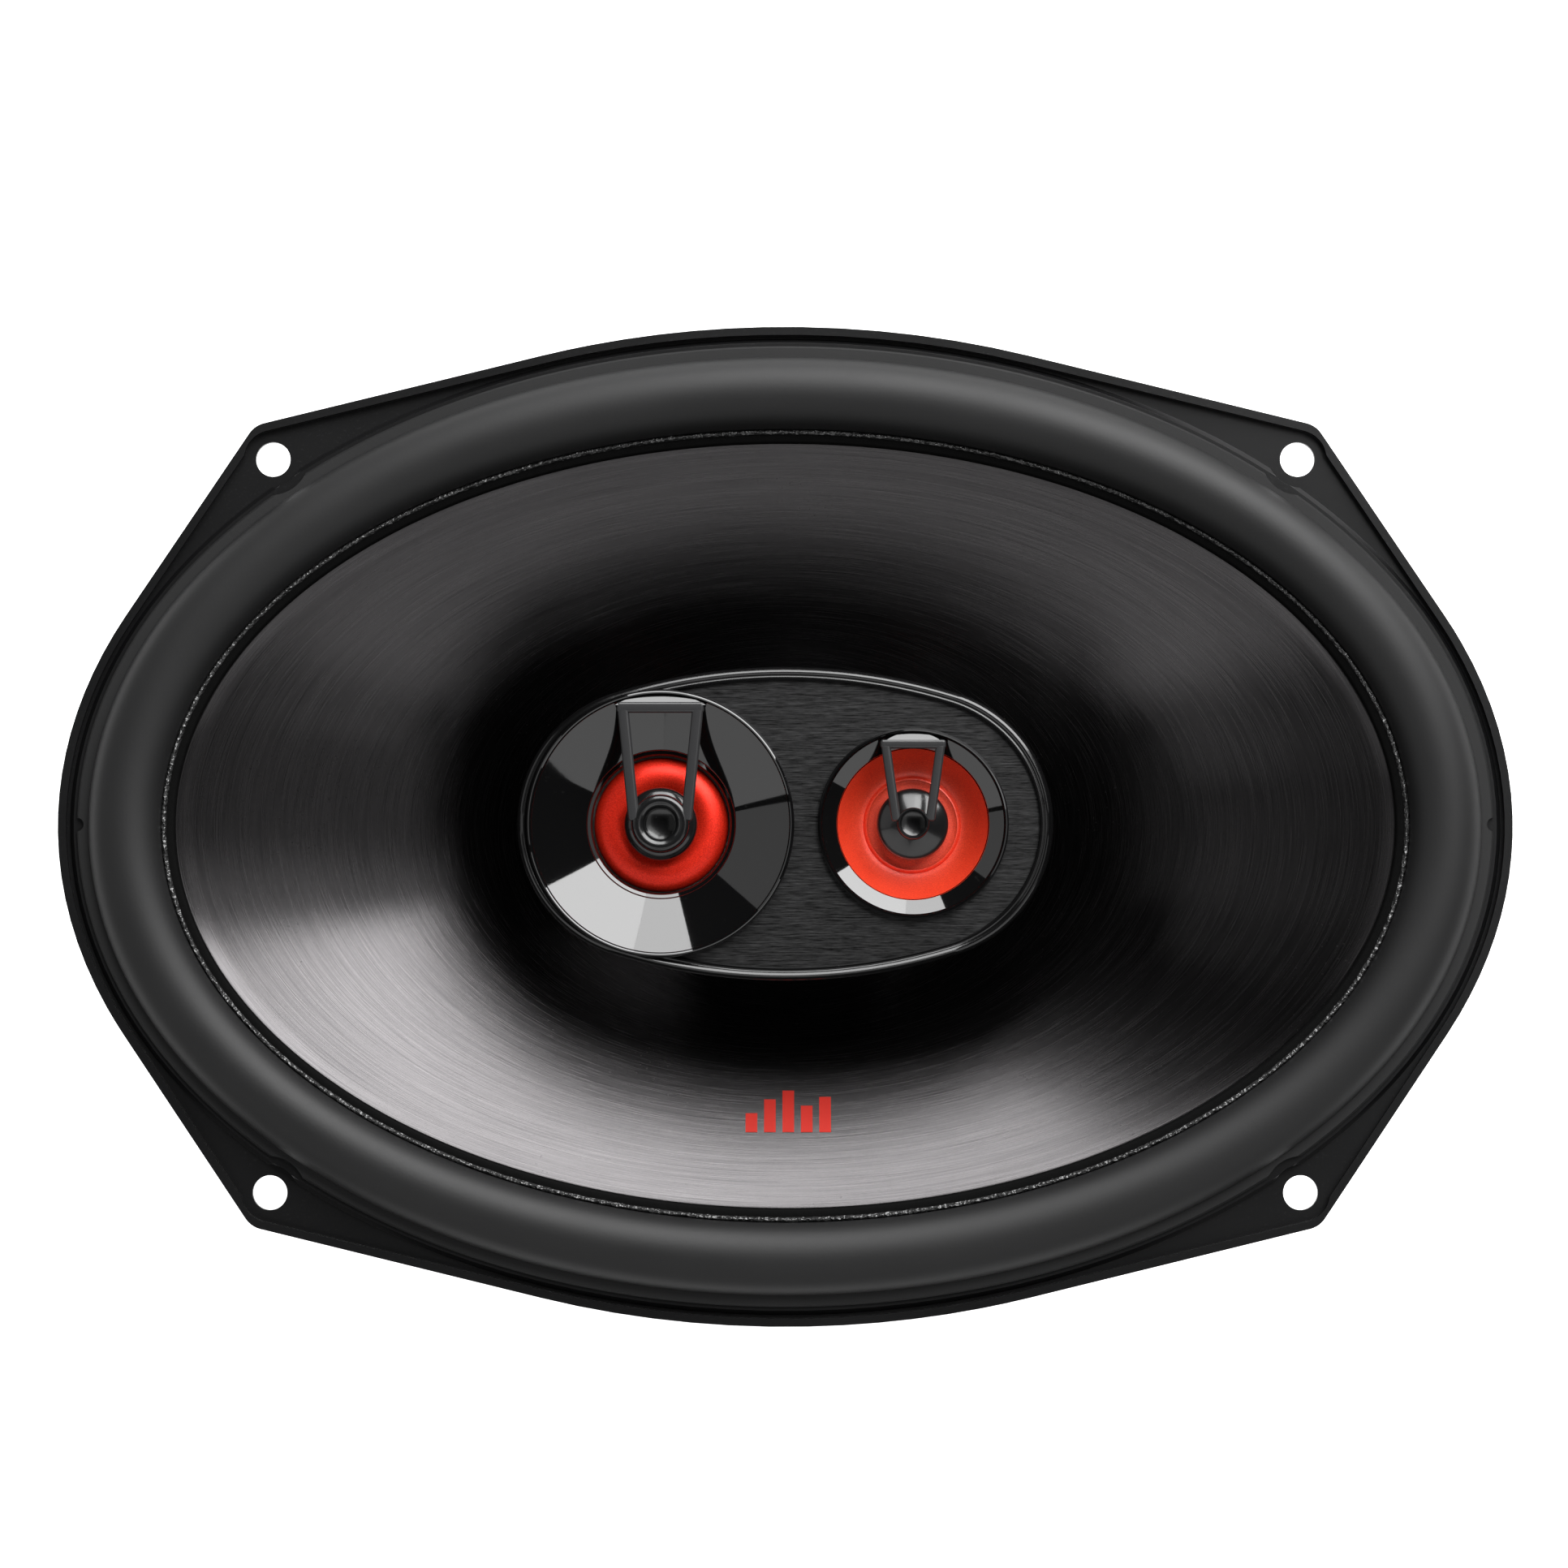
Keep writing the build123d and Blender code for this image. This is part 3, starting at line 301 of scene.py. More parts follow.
# The cone's front is brushed all round, so the marks follow its rings from neck to rim.
coneFinish = {"dark": (0.034, 0.033, 0.034), "light": (0.112, 0.107, 0.109), "rough": 0.25}


def makeBrushedCone():
    f = Finish("Brushed cone")
    x, y, z = f.axes(f.place())
    depth = coneTop - coneNeck
    share = ((z / mm - coneNeck) / depth).limited()
    run = (coneBow - (coneBow * coneBow - share * (4 * (coneBow - 1))) ** 0.5) / (2 * (coneBow - 1))
    across, along = x / (coneA * mm), y / (coneB * mm)
    reach = (across * across + along * along + 0.0001) ** 0.5
    ring = f.node("ShaderNodeCombineXYZ", None, run, across / reach * 0.006, along / reach * 0.006)
    fine = f.noise(ring, 640, 3.0, 0.6)
    wide = f.noise(ring, 210, 3.0, 0.6)
    speck = f.node("ShaderNodeTexVoronoi", {"feature": "F1"}, f.place(), Scale=900)
    dust = ((0.16 - speck) * 9).limited() * ((f.noise(f.place(), 30, 2.0) - 0.52) * 6).limited()
    marks = fine * 0.8 + wide * 0.2
    tone = ((marks - 0.25) * 2.0).limited()
    return f.finish(
        Base_Color=f.blendColours(tone, coneFinish["dark"], coneFinish["light"]),
        Metallic=1.0,
        Roughness=coneFinish["rough"] + (fine - 0.5) * 0.2 + dust * 0.2,
        Specular_IOR_Level=0.4,
        Anisotropic=0.9,
        Anisotropic_Rotation=0.25,
        Normal=f.bump(marks + dust * 0.3, 0.35, 0.08),
    )


# Dark anodised face plate, brushed along the long side.
plateFinish = {"dark": (0.006, 0.006, 0.006), "light": (0.070, 0.070, 0.071)}


def makeBrushedPlate():
    f = Finish("Brushed face plate")
    fine = f.noise(f.place(stretch=(1, 14, 14)), 330, 4.0, 0.7)
    long = f.noise(f.place(stretch=(1, 30, 30)), 110, 3.0, 0.6)
    marks = fine * 0.65 + long * 0.35
    return f.finish(
        Base_Color=f.blendColours(
            ((marks - 0.36) * 3.2).limited(), plateFinish["dark"], plateFinish["light"]),
        Metallic=0.85,
        Roughness=0.40 + (fine - 0.5) * 0.3,
        Normal=f.bump(marks, 0.35, 0.06),
    )


# Red anodised foil domes: a fine sparkle over a deep red.
def makeRedFoil(name, deep, bright, spot, metal, coat):
    f = Finish(name)
    place = f.place()
    grain = f.noise(place, 5200, 3.0, 0.7)
    sparkle = f.node("ShaderNodeTexVoronoi", {"feature": "F1"}, place, Scale=6500)
    x, y, z = f.axes(f.place(centre=(*spot, 0)))
    away = f.node("ShaderNodeMath", {"operation": "SQRT"}, x * x + y * y) / mm
    rings = wave(f, away * 38.0, 0.5) + 0.5
    return f.finish(
        Base_Color=f.blendColours(((grain - 0.32) * 2.2 + sparkle * 0.25).limited(), deep, bright),
        Metallic=metal,
        Roughness=0.36 + grain * 0.18,
        Specular_IOR_Level=coat * 0.8,
        Coat_Weight=coat,
        Coat_Roughness=0.34,
        Normal=f.bump(grain * 0.7 + rings * 0.15, 0.35, 0.05),
    )


# Turned, plated or bare metal with its own tool marks.
def makeMetal(name, dark, light, rough, scale=300, stretch=(1, 1, 12), metallic=1.0):
    f = Finish(name)
    grain = f.noise(f.place(stretch=stretch), scale, 4.0, 0.6)
    stain = f.noise(f.place(), 45, 3.0)
    return f.finish(
        Base_Color=f.blendColours(grain * 0.6 + stain * 0.4, dark, light),
        Metallic=metallic,
        Roughness=rough + (grain - 0.5) * 0.2 + stain * 0.08,
        Normal=f.bump(grain, 0.12, 0.08),
    )


def makeFerrite():
    f = Finish("Ground ferrite")
    spot = f.place()
    grain = f.noise(spot, 1300, 4.0, 0.7)
    ground = f.noise(f.place(stretch=(1, 14, 1)), 90, 3.0)
    return f.finish(
        Base_Color=f.blendColours(grain, (0.02, 0.02, 0.021), (0.06, 0.059, 0.058)),
        Metallic=0.15,
        Roughness=0.5 + ground * 0.2,
        Normal=f.bump(grain + ground * 0.5, 0.3, 0.1),
    )


# Moulded plastics: spark-eroded texture, or smooth insulation.
def makeMoulding(name, first, second, rough, scale=900, strength=0.2, shine=0.5):
    f = Finish(name)
    spot = f.place()
    skin = f.noise(spot, scale, 4.0, 0.65)
    cloud = f.noise(spot, 40, 2.0)
    return f.finish(
        Base_Color=f.blendColours(cloud * 0.7 + skin * 0.3, first, second),
        Roughness=rough + skin * 0.12,
        Specular_IOR_Level=shine,
        Normal=f.bump(skin, strength, 0.1),
    )


# Resin-dipped cloth of the spider: an over and under weave on its flat plan.
def makeSpiderCloth():
    f = Finish("Spider cloth")
    x, y, z = f.axes(f.place())
    pitch = 2 * math.pi / (0.55 * mm)
    weave = wave(f, x * pitch) * wave(f, y * pitch) * 0.5 + 0.5
    fuzz = f.noise(f.place(), 700, 4.0, 0.6)
    tint = f.noise(f.place(), 30, 3.0)
    shade = (weave * 0.5 + fuzz * 0.3 + tint * 0.2).limited()
    return f.finish(
        Base_Color=f.blendColours(shade, (0.20, 0.13, 0.045), (0.55, 0.42, 0.20)),
        Roughness=0.72 + fuzz * 0.15,
        Normal=f.bump(weave + fuzz * 0.4, 0.5, 0.14),
        Sheen_Weight=0.15,
    )


# Copper wire wound round the former: one ridge for each turn.
def makeWinding():
    f = Finish("Copper winding")
    x, y, z = f.axes(f.place())
    turns = wave(f, z * (2 * math.pi / (0.28 * mm))) * 0.5 + 0.5
    stain = f.noise(f.place(), 160, 3.0)
    return f.finish(
        Base_Color=f.blendColours(turns * 0.7 + stain * 0.3, (0.25, 0.07, 0.02), (0.80, 0.36, 0.16)),
        Metallic=0.9,
        Roughness=0.24 + stain * 0.14,
        Normal=f.bump(turns, 0.5, 0.1),
    )


# Glue: the wet-looking beaded line, and the dull black glue that fills a joint, made near black with almost
# no shine as painted shade of the shaded groove between the bead and the cone's edge.
def makeGlue():
    f = Finish("Glue bead")
    spot = f.place()
    drops = f.node("ShaderNodeTexVoronoi", {"feature": "F1"}, spot, Scale=1500)
    beads = f.noise(spot, 1300, 2.0, 0.5)
    return f.finish(
        Base_Color=f.blendColours(beads, (0.010, 0.010, 0.010), (0.045, 0.045, 0.045)),
        Roughness=0.13 + beads * 0.15,
        Specular_IOR_Level=0.8,
        Normal=f.bump(drops * 0.8 + beads, 1.0, 0.5),
    )


def makeAdhesiveAndShade():
    f = Finish("Joint adhesive with painted shade")
    grain = f.noise(f.place(), 1100, 3.0, 0.6)
    return f.finish(
        # near-black colour and faint shine: painted shade of the groove by the cone's edge
        Base_Color=f.blendColours(grain, (0.001, 0.001, 0.001), (0.003, 0.003, 0.003)),
        Roughness=0.6 + grain * 0.2,
        Specular_IOR_Level=0.05,
        Normal=f.bump(grain, 0.4, 0.15),
    )


def makeFloor():
    f = Finish("Studio floor")
    cloud = f.noise(f.place(), 3, 2.0)
    return f.finish(
        Base_Color=f.blendColours(cloud, (0.86, 0.86, 0.86), (0.90, 0.90, 0.90)),
        Roughness=0.7 + cloud * 0.1,
        Emission_Color=(1.0, 1.0, 1.0, 1.0),
        Emission_Strength=1.1,
    )


# The cone's own measures, which its finish needs too.
coneNeck = coneLow.z + 2.5          # the neck's collar hangs below the front's lowest ring
coneLip = 1.9                       # flat edge that the surround is glued to
coneA, coneB = coneHigh.x - coneLip, coneHigh.y - coneLip
coneBow = 1.35                      # how much steeper the cone starts at its neck; 1 is straight

enamel = makeEnamel()
pianoBlack = makeGlossBlack("Piano black", 0.03, 0.008)
podGloss = makeGlossBlack("Pod gloss black", 0.17, 0.012, 1.0, 0.25)
capGloss = makeGlossBlack("Cap gloss black", 0.12, 0.010)
plugGloss = makeGlossBlack("Plug satin black", 0.34, 0.012, 9.0, 0.14)
hubGloss = makeGlossBlack("Hub gloss black", 0.20, 0.012, 2.5, 0.25)
surroundRubber = makeRubber("Surround rubber", 0.46, 0.0055, 0.10)
bootRubber = makeRubber("Boot rubber", 0.50, 0.014, 0.35)
brushedCone = makeBrushedCone()
brushedPlate = makeBrushedPlate()
deepRed = makeRedFoil(
    "Deep red foil", (0.46, 0.0060, 0.0014), (0.92, 0.034, 0.011), midrangeSpot, 0.66, 0.25)
brightRed = makeRedFoil(
    "Bright red foil", (0.62, 0.012, 0.003), (0.98, 0.090, 0.026), tweeterSpot, 0.45, 0.9)
zinc = makeMetal("Zinc plate", (0.34, 0.33, 0.30), (0.66, 0.66, 0.63), 0.30)
platedSteel = makeMetal("Plated steel", (0.42, 0.42, 0.42), (0.75, 0.75, 0.76), 0.26, 500, (1, 1, 1))
blackPlate = makeMetal(
    "Black plated steel", (0.012, 0.012, 0.013), (0.035, 0.035, 0.037), 0.42, 400, (1, 1, 6), 0.4)
darkAlloy = makeMetal(
    "Black anodised alloy", (0.010, 0.010, 0.011), (0.035, 0.035, 0.038), 0.34, 300, (1, 1, 16), 0.7)
formerAlloy = makeMetal("Former alloy", (0.45, 0.42, 0.36), (0.80, 0.77, 0.70), 0.28, 260, (1, 1, 14))
tinnedBrass = makeMetal("Tinned brass", (0.50, 0.42, 0.22), (0.85, 0.77, 0.52), 0.24, 520, (1, 1, 5))
nickel = makeMetal("Nickel plate", (0.5, 0.5, 0.48), (0.8, 0.8, 0.78), 0.18, 300, (1, 1, 1))
braidCopper = makeMetal("Braided tinsel", (0.38, 0.20, 0.10), (0.85, 0.55, 0.33), 0.34, 1600, (1, 1, 1))
ferrite = makeFerrite()
spiderCloth = makeSpiderCloth()
winding = makeWinding()
glue = makeGlue()
adhesiveAndShade = makeAdhesiveAndShade()
boardPlastic = makeMoulding("Board plastic", (0.010, 0.010, 0.010), (0.022, 0.022, 0.022), 0.45, 1100, 0.3)
foam = makeMoulding("Foam pad", (0.34, 0.32, 0.24), (0.60, 0.57, 0.46), 0.8, 1400, 0.8)
redWire = makeMoulding("Red insulation", (0.34, 0.008, 0.010), (0.52, 0.020, 0.020), 0.30, 600, 0.08)
whiteWire = makeMoulding("White insulation", (0.58, 0.57, 0.53), (0.74, 0.73, 0.70), 0.32, 600, 0.08)
blackWire = makeMoulding("Black insulation", (0.010, 0.010, 0.010), (0.022, 0.022, 0.022), 0.30, 600, 0.08)
blueSleeve = makeMoulding(
    "Blue capacitor sleeve", (0.010, 0.035, 0.13), (0.018, 0.06, 0.21), 0.26, 300, 0.06)
redMark = makeMoulding("Printed red mark", (0.40, 0.016, 0.010), (0.52, 0.03, 0.020), 0.5, 1500, 0.1, 0.15)
print("finishes made")


# Modelling helpers. A ring is (half length, half width, height) and is grown from the one before it.
def deselect():
    if bpy.context.object and bpy.context.object.mode != "OBJECT":
        bpy.ops.object.mode_set(mode="OBJECT")
    bpy.ops.object.select_all(action="DESELECT")


def only(piece):
    deselect()
    piece.select_set(True)
    bpy.context.view_layer.objects.active = piece


def growRings(piece, rings, centre=(0, 0), closed=False, capped=False):
    only(piece)
    bpy.ops.object.mode_set(mode="EDIT")
    bpy.ops.mesh.select_all(action="SELECT")
    for before, after in zip(rings, rings[1:]):
        pivot = Vector((centre[0], centre[1], after[2])) * mm
        bpy.ops.mesh.extrude_region_move(
            TRANSFORM_OT_translate={"value": (0, 0, (after[2] - before[2]) * mm)})
        if after[0] <= 0:
            bpy.ops.mesh.merge(type="CENTER")
            break
        bpy.ops.transform.resize(
            value=(after[0] / before[0], after[1] / before[1], 1), center_override=pivot)
    if capped:
        bpy.ops.mesh.edge_face_add()
    bpy.ops.mesh.select_all(action="SELECT")
    if closed:
        bpy.ops.mesh.remove_doubles(threshold=0.00001)
    bpy.ops.mesh.normals_make_consistent(inside=False)
    bpy.ops.object.mode_set(mode="OBJECT")
    return piece


def startRing(name, ring, centre=(0, 0), count=192):
    deselect()
    spot = Vector((centre[0], centre[1], ring[2])) * mm
    bpy.ops.mesh.primitive_circle_add(vertices=count, radius=mm, fill_type="NOTHING", location=spot)
    piece = bpy.context.object
    piece.name = piece.data.name = name
    piece.scale = (ring[0], ring[1], 1)
    bpy.ops.object.transform_apply(location=True, rotation=True, scale=True)
    return piece


def ringPiece(name, rings, centre=(0, 0), count=192, closed=False):
    piece = startRing(name, rings[0], centre, count)
    return growRings(piece, rings, centre, closed)


def roundRings(profile):
    return [(r, r, z) for r, z in profile]


def smooth(piece, angle=40):
    only(piece)
    bpy.ops.object.shade_smooth_by_angle(angle=math.radians(angle))


def evenShading(piece):
    only(piece)
    even = piece.modifiers.new("Even shading", "WEIGHTED_NORMAL")
    even.keep_sharp = True
    bpy.ops.object.modifier_apply(modifier=even.name)


def bevelled(piece, width, segments=3, angle=35):
    only(piece)
    cut = piece.modifiers.new("Bevel", "BEVEL")
    cut.width, cut.segments = width * mm, segments
    cut.limit_method, cut.angle_limit = "ANGLE", math.radians(angle)
    cut.use_clamp_overlap = True
    cut.harden_normals = False
    bpy.ops.object.modifier_apply(modifier=cut.name)


def carve(piece, tool):
    only(piece)
    cut = piece.modifiers.new("Carve", "BOOLEAN")
    cut.operation, cut.solver, cut.object = "DIFFERENCE", "EXACT", tool
    bpy.ops.object.modifier_apply(modifier=cut.name)
    bpy.data.objects.remove(tool)


def together(name, pieces):
    deselect()
    for piece in pieces:
        piece.select_set(True)
    bpy.context.view_layer.objects.active = pieces[0]
    bpy.ops.object.join()
    joined = bpy.context.object
    joined.name = joined.data.name = name
    return joined


def dress(piece, material, body, slot, *nodes):
    if material:
        piece.data.materials.clear()
        piece.data.materials.append(material)
    if body:
        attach(piece, body)
    if nodes:
        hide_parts(*nodes)


# A CAD node's copy, cleaned and given the small radii that the real piece has on its edges.
def softened(node, material, width, slot, segments=2, angle=32):
    source = frame["nodes"][node]
    deselect()
    source.select_set(True)
    bpy.context.view_layer.objects.active = source
    bpy.ops.object.duplicate()
    piece = bpy.context.object
    piece.name = piece.data.name = "Soft_" + node
    piece.parent = None
    piece.matrix_world = Matrix.Identity(4)
    bpy.ops.object.mode_set(mode="EDIT")
    bpy.ops.mesh.select_all(action="SELECT")
    bpy.ops.mesh.remove_doubles(threshold=0.000005)
    bpy.ops.mesh.dissolve_limited(angle_limit=math.radians(0.6))
    bpy.ops.object.mode_set(mode="OBJECT")
    bpy.ops.mesh.customdata_custom_splitnormals_clear()
    bevelled(piece, width, segments, angle)
    smooth(piece, 34)
    evenShading(piece)
    dress(piece, material, "frame", slot, node)
    return piece


# The basket: stamped steel, with every cut and pressed edge slightly rounded.
basketEdges = {"radius": 0.32, "segments": 2}


def makeBasket():
    softened("basket", enamel, basketEdges["radius"], "black_steel", basketEdges["segments"])


# The surround: outer band, half-round roll and the land glued to the cone, as one rubber skin.
surroundShape = {
    "skin": 0.8, "band": 1.9, "roll": 11.7, "glueLand": 2.5, "overlap": 0.8, "height": 5.15,
    "notch": 6.0, "smallNotch": 1.1, "steps": 18,
}


def surroundRings():
    s = surroundShape
    high, low = surroundLow.z + s["skin"], surroundLow.z + 0.02
    edgeA, edgeB = surroundHigh.x, surroundHigh.y

    def ring(inset, z):
        return edgeA - inset, edgeB - inset, z

    def arc(thickness, z, back=False):
        half = s["roll"] / 2 - thickness
        middleInset = s["band"] + s["roll"] / 2
        turns = [math.pi * i / s["steps"] for i in range(s["steps"] + 1)]
        rise = s["height"] - thickness
        made = [ring(middleInset - half * math.cos(t), z + rise * math.sin(t)) for t in turns]
        return made[::-1] if back else made

    inner = s["band"] + s["roll"] + s["glueLand"] - s["overlap"]
    outside = [ring(0.25, low), ring(0, low + 0.25), ring(0.03, high - 0.3), ring(0.35, high)]
    outside += arc(0, high) + [ring(inner - 0.3, high), ring(inner, high - 0.3), ring(inner, low)]
    return outside + arc(s["skin"], low, back=True) + [ring(0.25, low)]


def insetFrom(points, a, b):
    # how far inside an oval each point lies, found by halving
    low, high = np.zeros(len(points)), np.full(len(points), b - 1.0)
    for _ in range(40):
        half = (low + high) / 2
        outside = (points[:, 0] / (a - half)) ** 2 + (points[:, 1] / (b - half)) ** 2 > 1
        high, low = np.where(outside, half, high), np.where(outside, low, half)
    return (low + high) / 2


def followCone(piece, share):
    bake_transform(piece)
    share = np.clip(share, 0, 1)
    weights = share * share * (3 - 2 * share)


def vertexPoints(piece):
    return np.array([v.co for v in piece.data.vertices], float).reshape(-1, 3) / mm


def makeSurround():
    s = surroundShape
    piece = ringPiece("Surround", surroundRings(), count=288, closed=True)
    holes = frame["record"]["mounts"][0]["dims"]
    halfX, halfY = holes["spacing_x_mm"] / 2, holes["spacing_y_mm"] / 2
    places = [(sx * halfX, sy * halfY, s["notch"]) for sx in (-1, 1) for sy in (-1, 1)]
    places += [(sx * surroundHigh.x, 0, s["smallNotch"]) for sx in (-1, 1)]
    for x, y, radius in places:
        deselect()
        spot = Vector((x, y, surroundLow.z + 0.4)) * mm
        bpy.ops.mesh.primitive_cylinder_add(vertices=64, radius=radius * mm, depth=4 * mm, location=spot)
        carve(piece, bpy.context.object)
    smooth(piece, 38)
    dress(piece, surroundRubber, None, "black_rubber", "surround")
    inset = insetFrom(vertexPoints(piece), surroundHigh.x, surroundHigh.y)
    followCone(piece, (inset - s["band"]) / s["roll"])
    return piece


# The cone: a thin shell from its round neck to its oval rim, with a rolled edge.
coneShape = {"wall": 0.9, "steps": 32, "collar": 1.4, "neck": 18.0}


def coneRing(share):
    neck = coneShape["neck"]
    rise = (coneTop - 0.05 - coneNeck) * (coneBow * share - (coneBow - 1) * share ** 2)
    return neck + share * (coneA - neck), neck + share * (coneB - neck), coneNeck + rise


def makeCone():
    s = coneShape
    a, b, top = coneA, coneB, coneTop
    neck, wall = s["neck"], s["wall"]
    front = [coneRing(i / s["steps"]) for i in range(s["steps"] + 1)]
    rings = front + [(a + 0.06, b + 0.06, top), (a + coneLip, b + coneLip, top)]
    rings += [(a + coneLip, b + coneLip, top - wall)]
    rings += [(a, b, top - wall)] + [(x, y, z - wall) for x, y, z in front[-2:1:-1]]
    collar = neck + s["collar"]
    rings += roundRings([(collar, coneNeck - 0.9), (collar, coneLow.z + 0.3), (collar - 0.3, coneLow.z)])
    rings += [(neck + 0.02, neck + 0.02, coneLow.z), (neck + 0.02, neck + 0.02, coneNeck), rings[0]]
    piece = ringPiece("Cone", rings, count=288, closed=True)
    smooth(piece, 50)
    dress(piece, brushedCone, "cone", "cone_plastic", "woofer_cone")
    return piece


# Glue: the bead at the roll's foot, the near-black fill between it and the cone's edge, which is painted
# shade of the groove there, and the neck's fillet.
beadShape = {"gap": 2.06, "radius": 0.40, "rise": 0.62, "fill": 1.75, "rough": 0.09, "seed": 7}
neckBead = [(0.05, 0.1), (0.05, 1.5), (0.5, 1.7), (1.3, 1.3), (1.9, 0.9), (0.9, 0.2), (0.05, 0.1)]


def makeGlueBeads():
    s = beadShape
    a, b, top = coneA, coneB, surroundLow.z + surroundShape["skin"]
    turns = [math.pi * i / 8 for i in range(9)]
    rings = [(s["gap"] + s["radius"] * math.cos(t), s["rise"] * math.sin(t)) for t in turns]
    rings += [(s["gap"] - s["radius"], -0.2), (s["gap"] + s["radius"], -0.2), rings[0]]
    rings = [(a + out, b + out, top - 0.02 + up) for out, up in rings]
    edge = ringPiece("Edge_glue_bead", rings, count=900, closed=True)
    only(edge)
    bpy.ops.object.mode_set(mode="EDIT")
    bpy.ops.mesh.select_all(action="SELECT")
    bpy.ops.transform.vertex_random(offset=s["rough"] * mm, uniform=0.0, normal=0.0, seed=s["seed"])
    bpy.ops.object.mode_set(mode="OBJECT")
    smooth(edge, 80)
    dress(edge, glue, "cone", "black_rubber")
    # the joint's fill: its near-black finish is painted shade of the groove between the bead and the cone's
    # edge
    low = coneTop - 0.05
    fill = [(s["fill"], low), (s["fill"], top + 0.03), (0.72, top + 0.03), (0.45, top - 0.15)]
    fill += [(0.22, coneTop + 0.05), (0.2, low), (s["fill"], low)]
    joint = ringPiece("Edge_adhesive_painted_shade", [(a + d, b + d, z) for d, z in fill], count=288, closed=True)
    smooth(joint, 60)
    dress(joint, adhesiveAndShade, "cone", "black_rubber")
    r = coneShape["neck"]
    neck = roundRings([(r + out, coneNeck + up) for out, up in neckBead])
    bead = ringPiece("Neck_glue_bead", neck, count=160, closed=True)
    smooth(bead, 60)
    dress(bead, glue, "cone", "black_rubber")


# A small plain red mark on the cone: level bars like a sound meter's, laid on the slope.
markShape = {
    "x": 0.5, "y": -46.5, "bar": 1.9, "pitch": 3.0, "heights": (3.0, 5.2, 6.6, 4.2, 5.6), "thick": 0.06}


def makeLevelMark(cone):
    m = markShape
    bars = []
    for i, height in enumerate(m["heights"]):
        x = m["x"] + (i - (len(m["heights"]) - 1) / 2) * m["pitch"]
        y = m["y"] - (max(m["heights"]) - height) / 2
        deselect()
        bpy.ops.mesh.primitive_grid_add(
            x_subdivisions=6, y_subdivisions=16, size=1, location=Vector((x, y, rimTop + 4)) * mm)
        bar = bpy.context.object
        bar.scale = Vector((m["bar"], height, 1)) * mm
        bpy.ops.object.transform_apply(location=True, rotation=True, scale=True)
        bars.append(bar)
    mark = together("Level_mark", bars)
    only(mark)
    lay = mark.modifiers.new("Lay", "SHRINKWRAP")
    lay.target, lay.wrap_method, lay.use_negative_direction = cone, "PROJECT", True
    lay.use_project_z, lay.use_positive_direction, lay.offset = True, False, 0.03 * mm
    bpy.ops.object.modifier_apply(modifier=lay.name)
    thick = mark.modifiers.new("Thick", "SOLIDIFY")
    thick.thickness, thick.offset = m["thick"] * mm, 1
    bpy.ops.object.modifier_apply(modifier=thick.name)
    smooth(mark, 40)
    dress(mark, redMark, "cone", "cone_plastic")


# The spider: corrugated cloth from the former to the basket's ledge.
spiderShape = {
    "inner": 18.03, "neckLand": 1.5, "rim": 3.6, "middle": 1.2, "waves": 6, "height": 1.15, "cloth": 0.45,
    "perWave": 8,
}


def makeSpider():
    s = spiderShape
    low, high = nodeBox("spider")
    outer = high.x
    middleZ = low.z + s["middle"]
    start, end = s["inner"] + s["neckLand"], outer - s["rim"]
    count = s["waves"] * s["perWave"]
    top = [(s["inner"], middleZ)]
    for i in range(count + 1):
        r = start + (end - start) * i / count
        top.append((r, middleZ + s["height"] * math.sin(2 * math.pi * i / s["perWave"])))
    cloth = low.z + s["cloth"]
    top += [(end + 0.9, cloth + 0.1), (outer - 0.2, cloth), (outer, cloth - 0.1)]
    bottom = [(outer, low.z + 0.02)] + [(r, z - s["cloth"]) for r, z in top[-3::-1]]
    piece = ringPiece("Spider", roundRings(top + bottom + top[:1]), count=192, closed=True)
    smooth(piece, 60)
    dress(piece, spiderCloth, None, "spider_cloth", "spider")
    reach = np.hypot(*vertexPoints(piece)[:, :2].T)
    followCone(piece, (end - reach) / (end - s["inner"] - 1.0))
    return piece


# The pod's oval: two round ends joined by two long arcs, drawn by spinning a point round each arc's centre.
podShape = {
    "endRadius": 22.0, "steps": 24, "wall": 1.8, "floorInset": 9.0, "waist": 9.0, "seatDrop": 1.6,
    "lip": 2.2, "body": 3.4, "opening": 6, "discBore": 3.6, "discMargin": 14, "discStretch": 1.25,
}
podRim = [  # inset from the oval, drop from the top
    (0, 1.25), (0.12, 0.72), (0.42, 0.30), (0.85, 0.08), (1.15, 0.16),
    (1.35, 0.42), (1.5, 0.50), (1.7, 0.40), (2.0, 0.42), (2.2, 0.70),
]
podBelly = [(10.0, 0), (9.0, 0.25), (4.6, 2.9), (1.5, 6.0), (0.5, 7.6)]  # inset, rise from the bottom


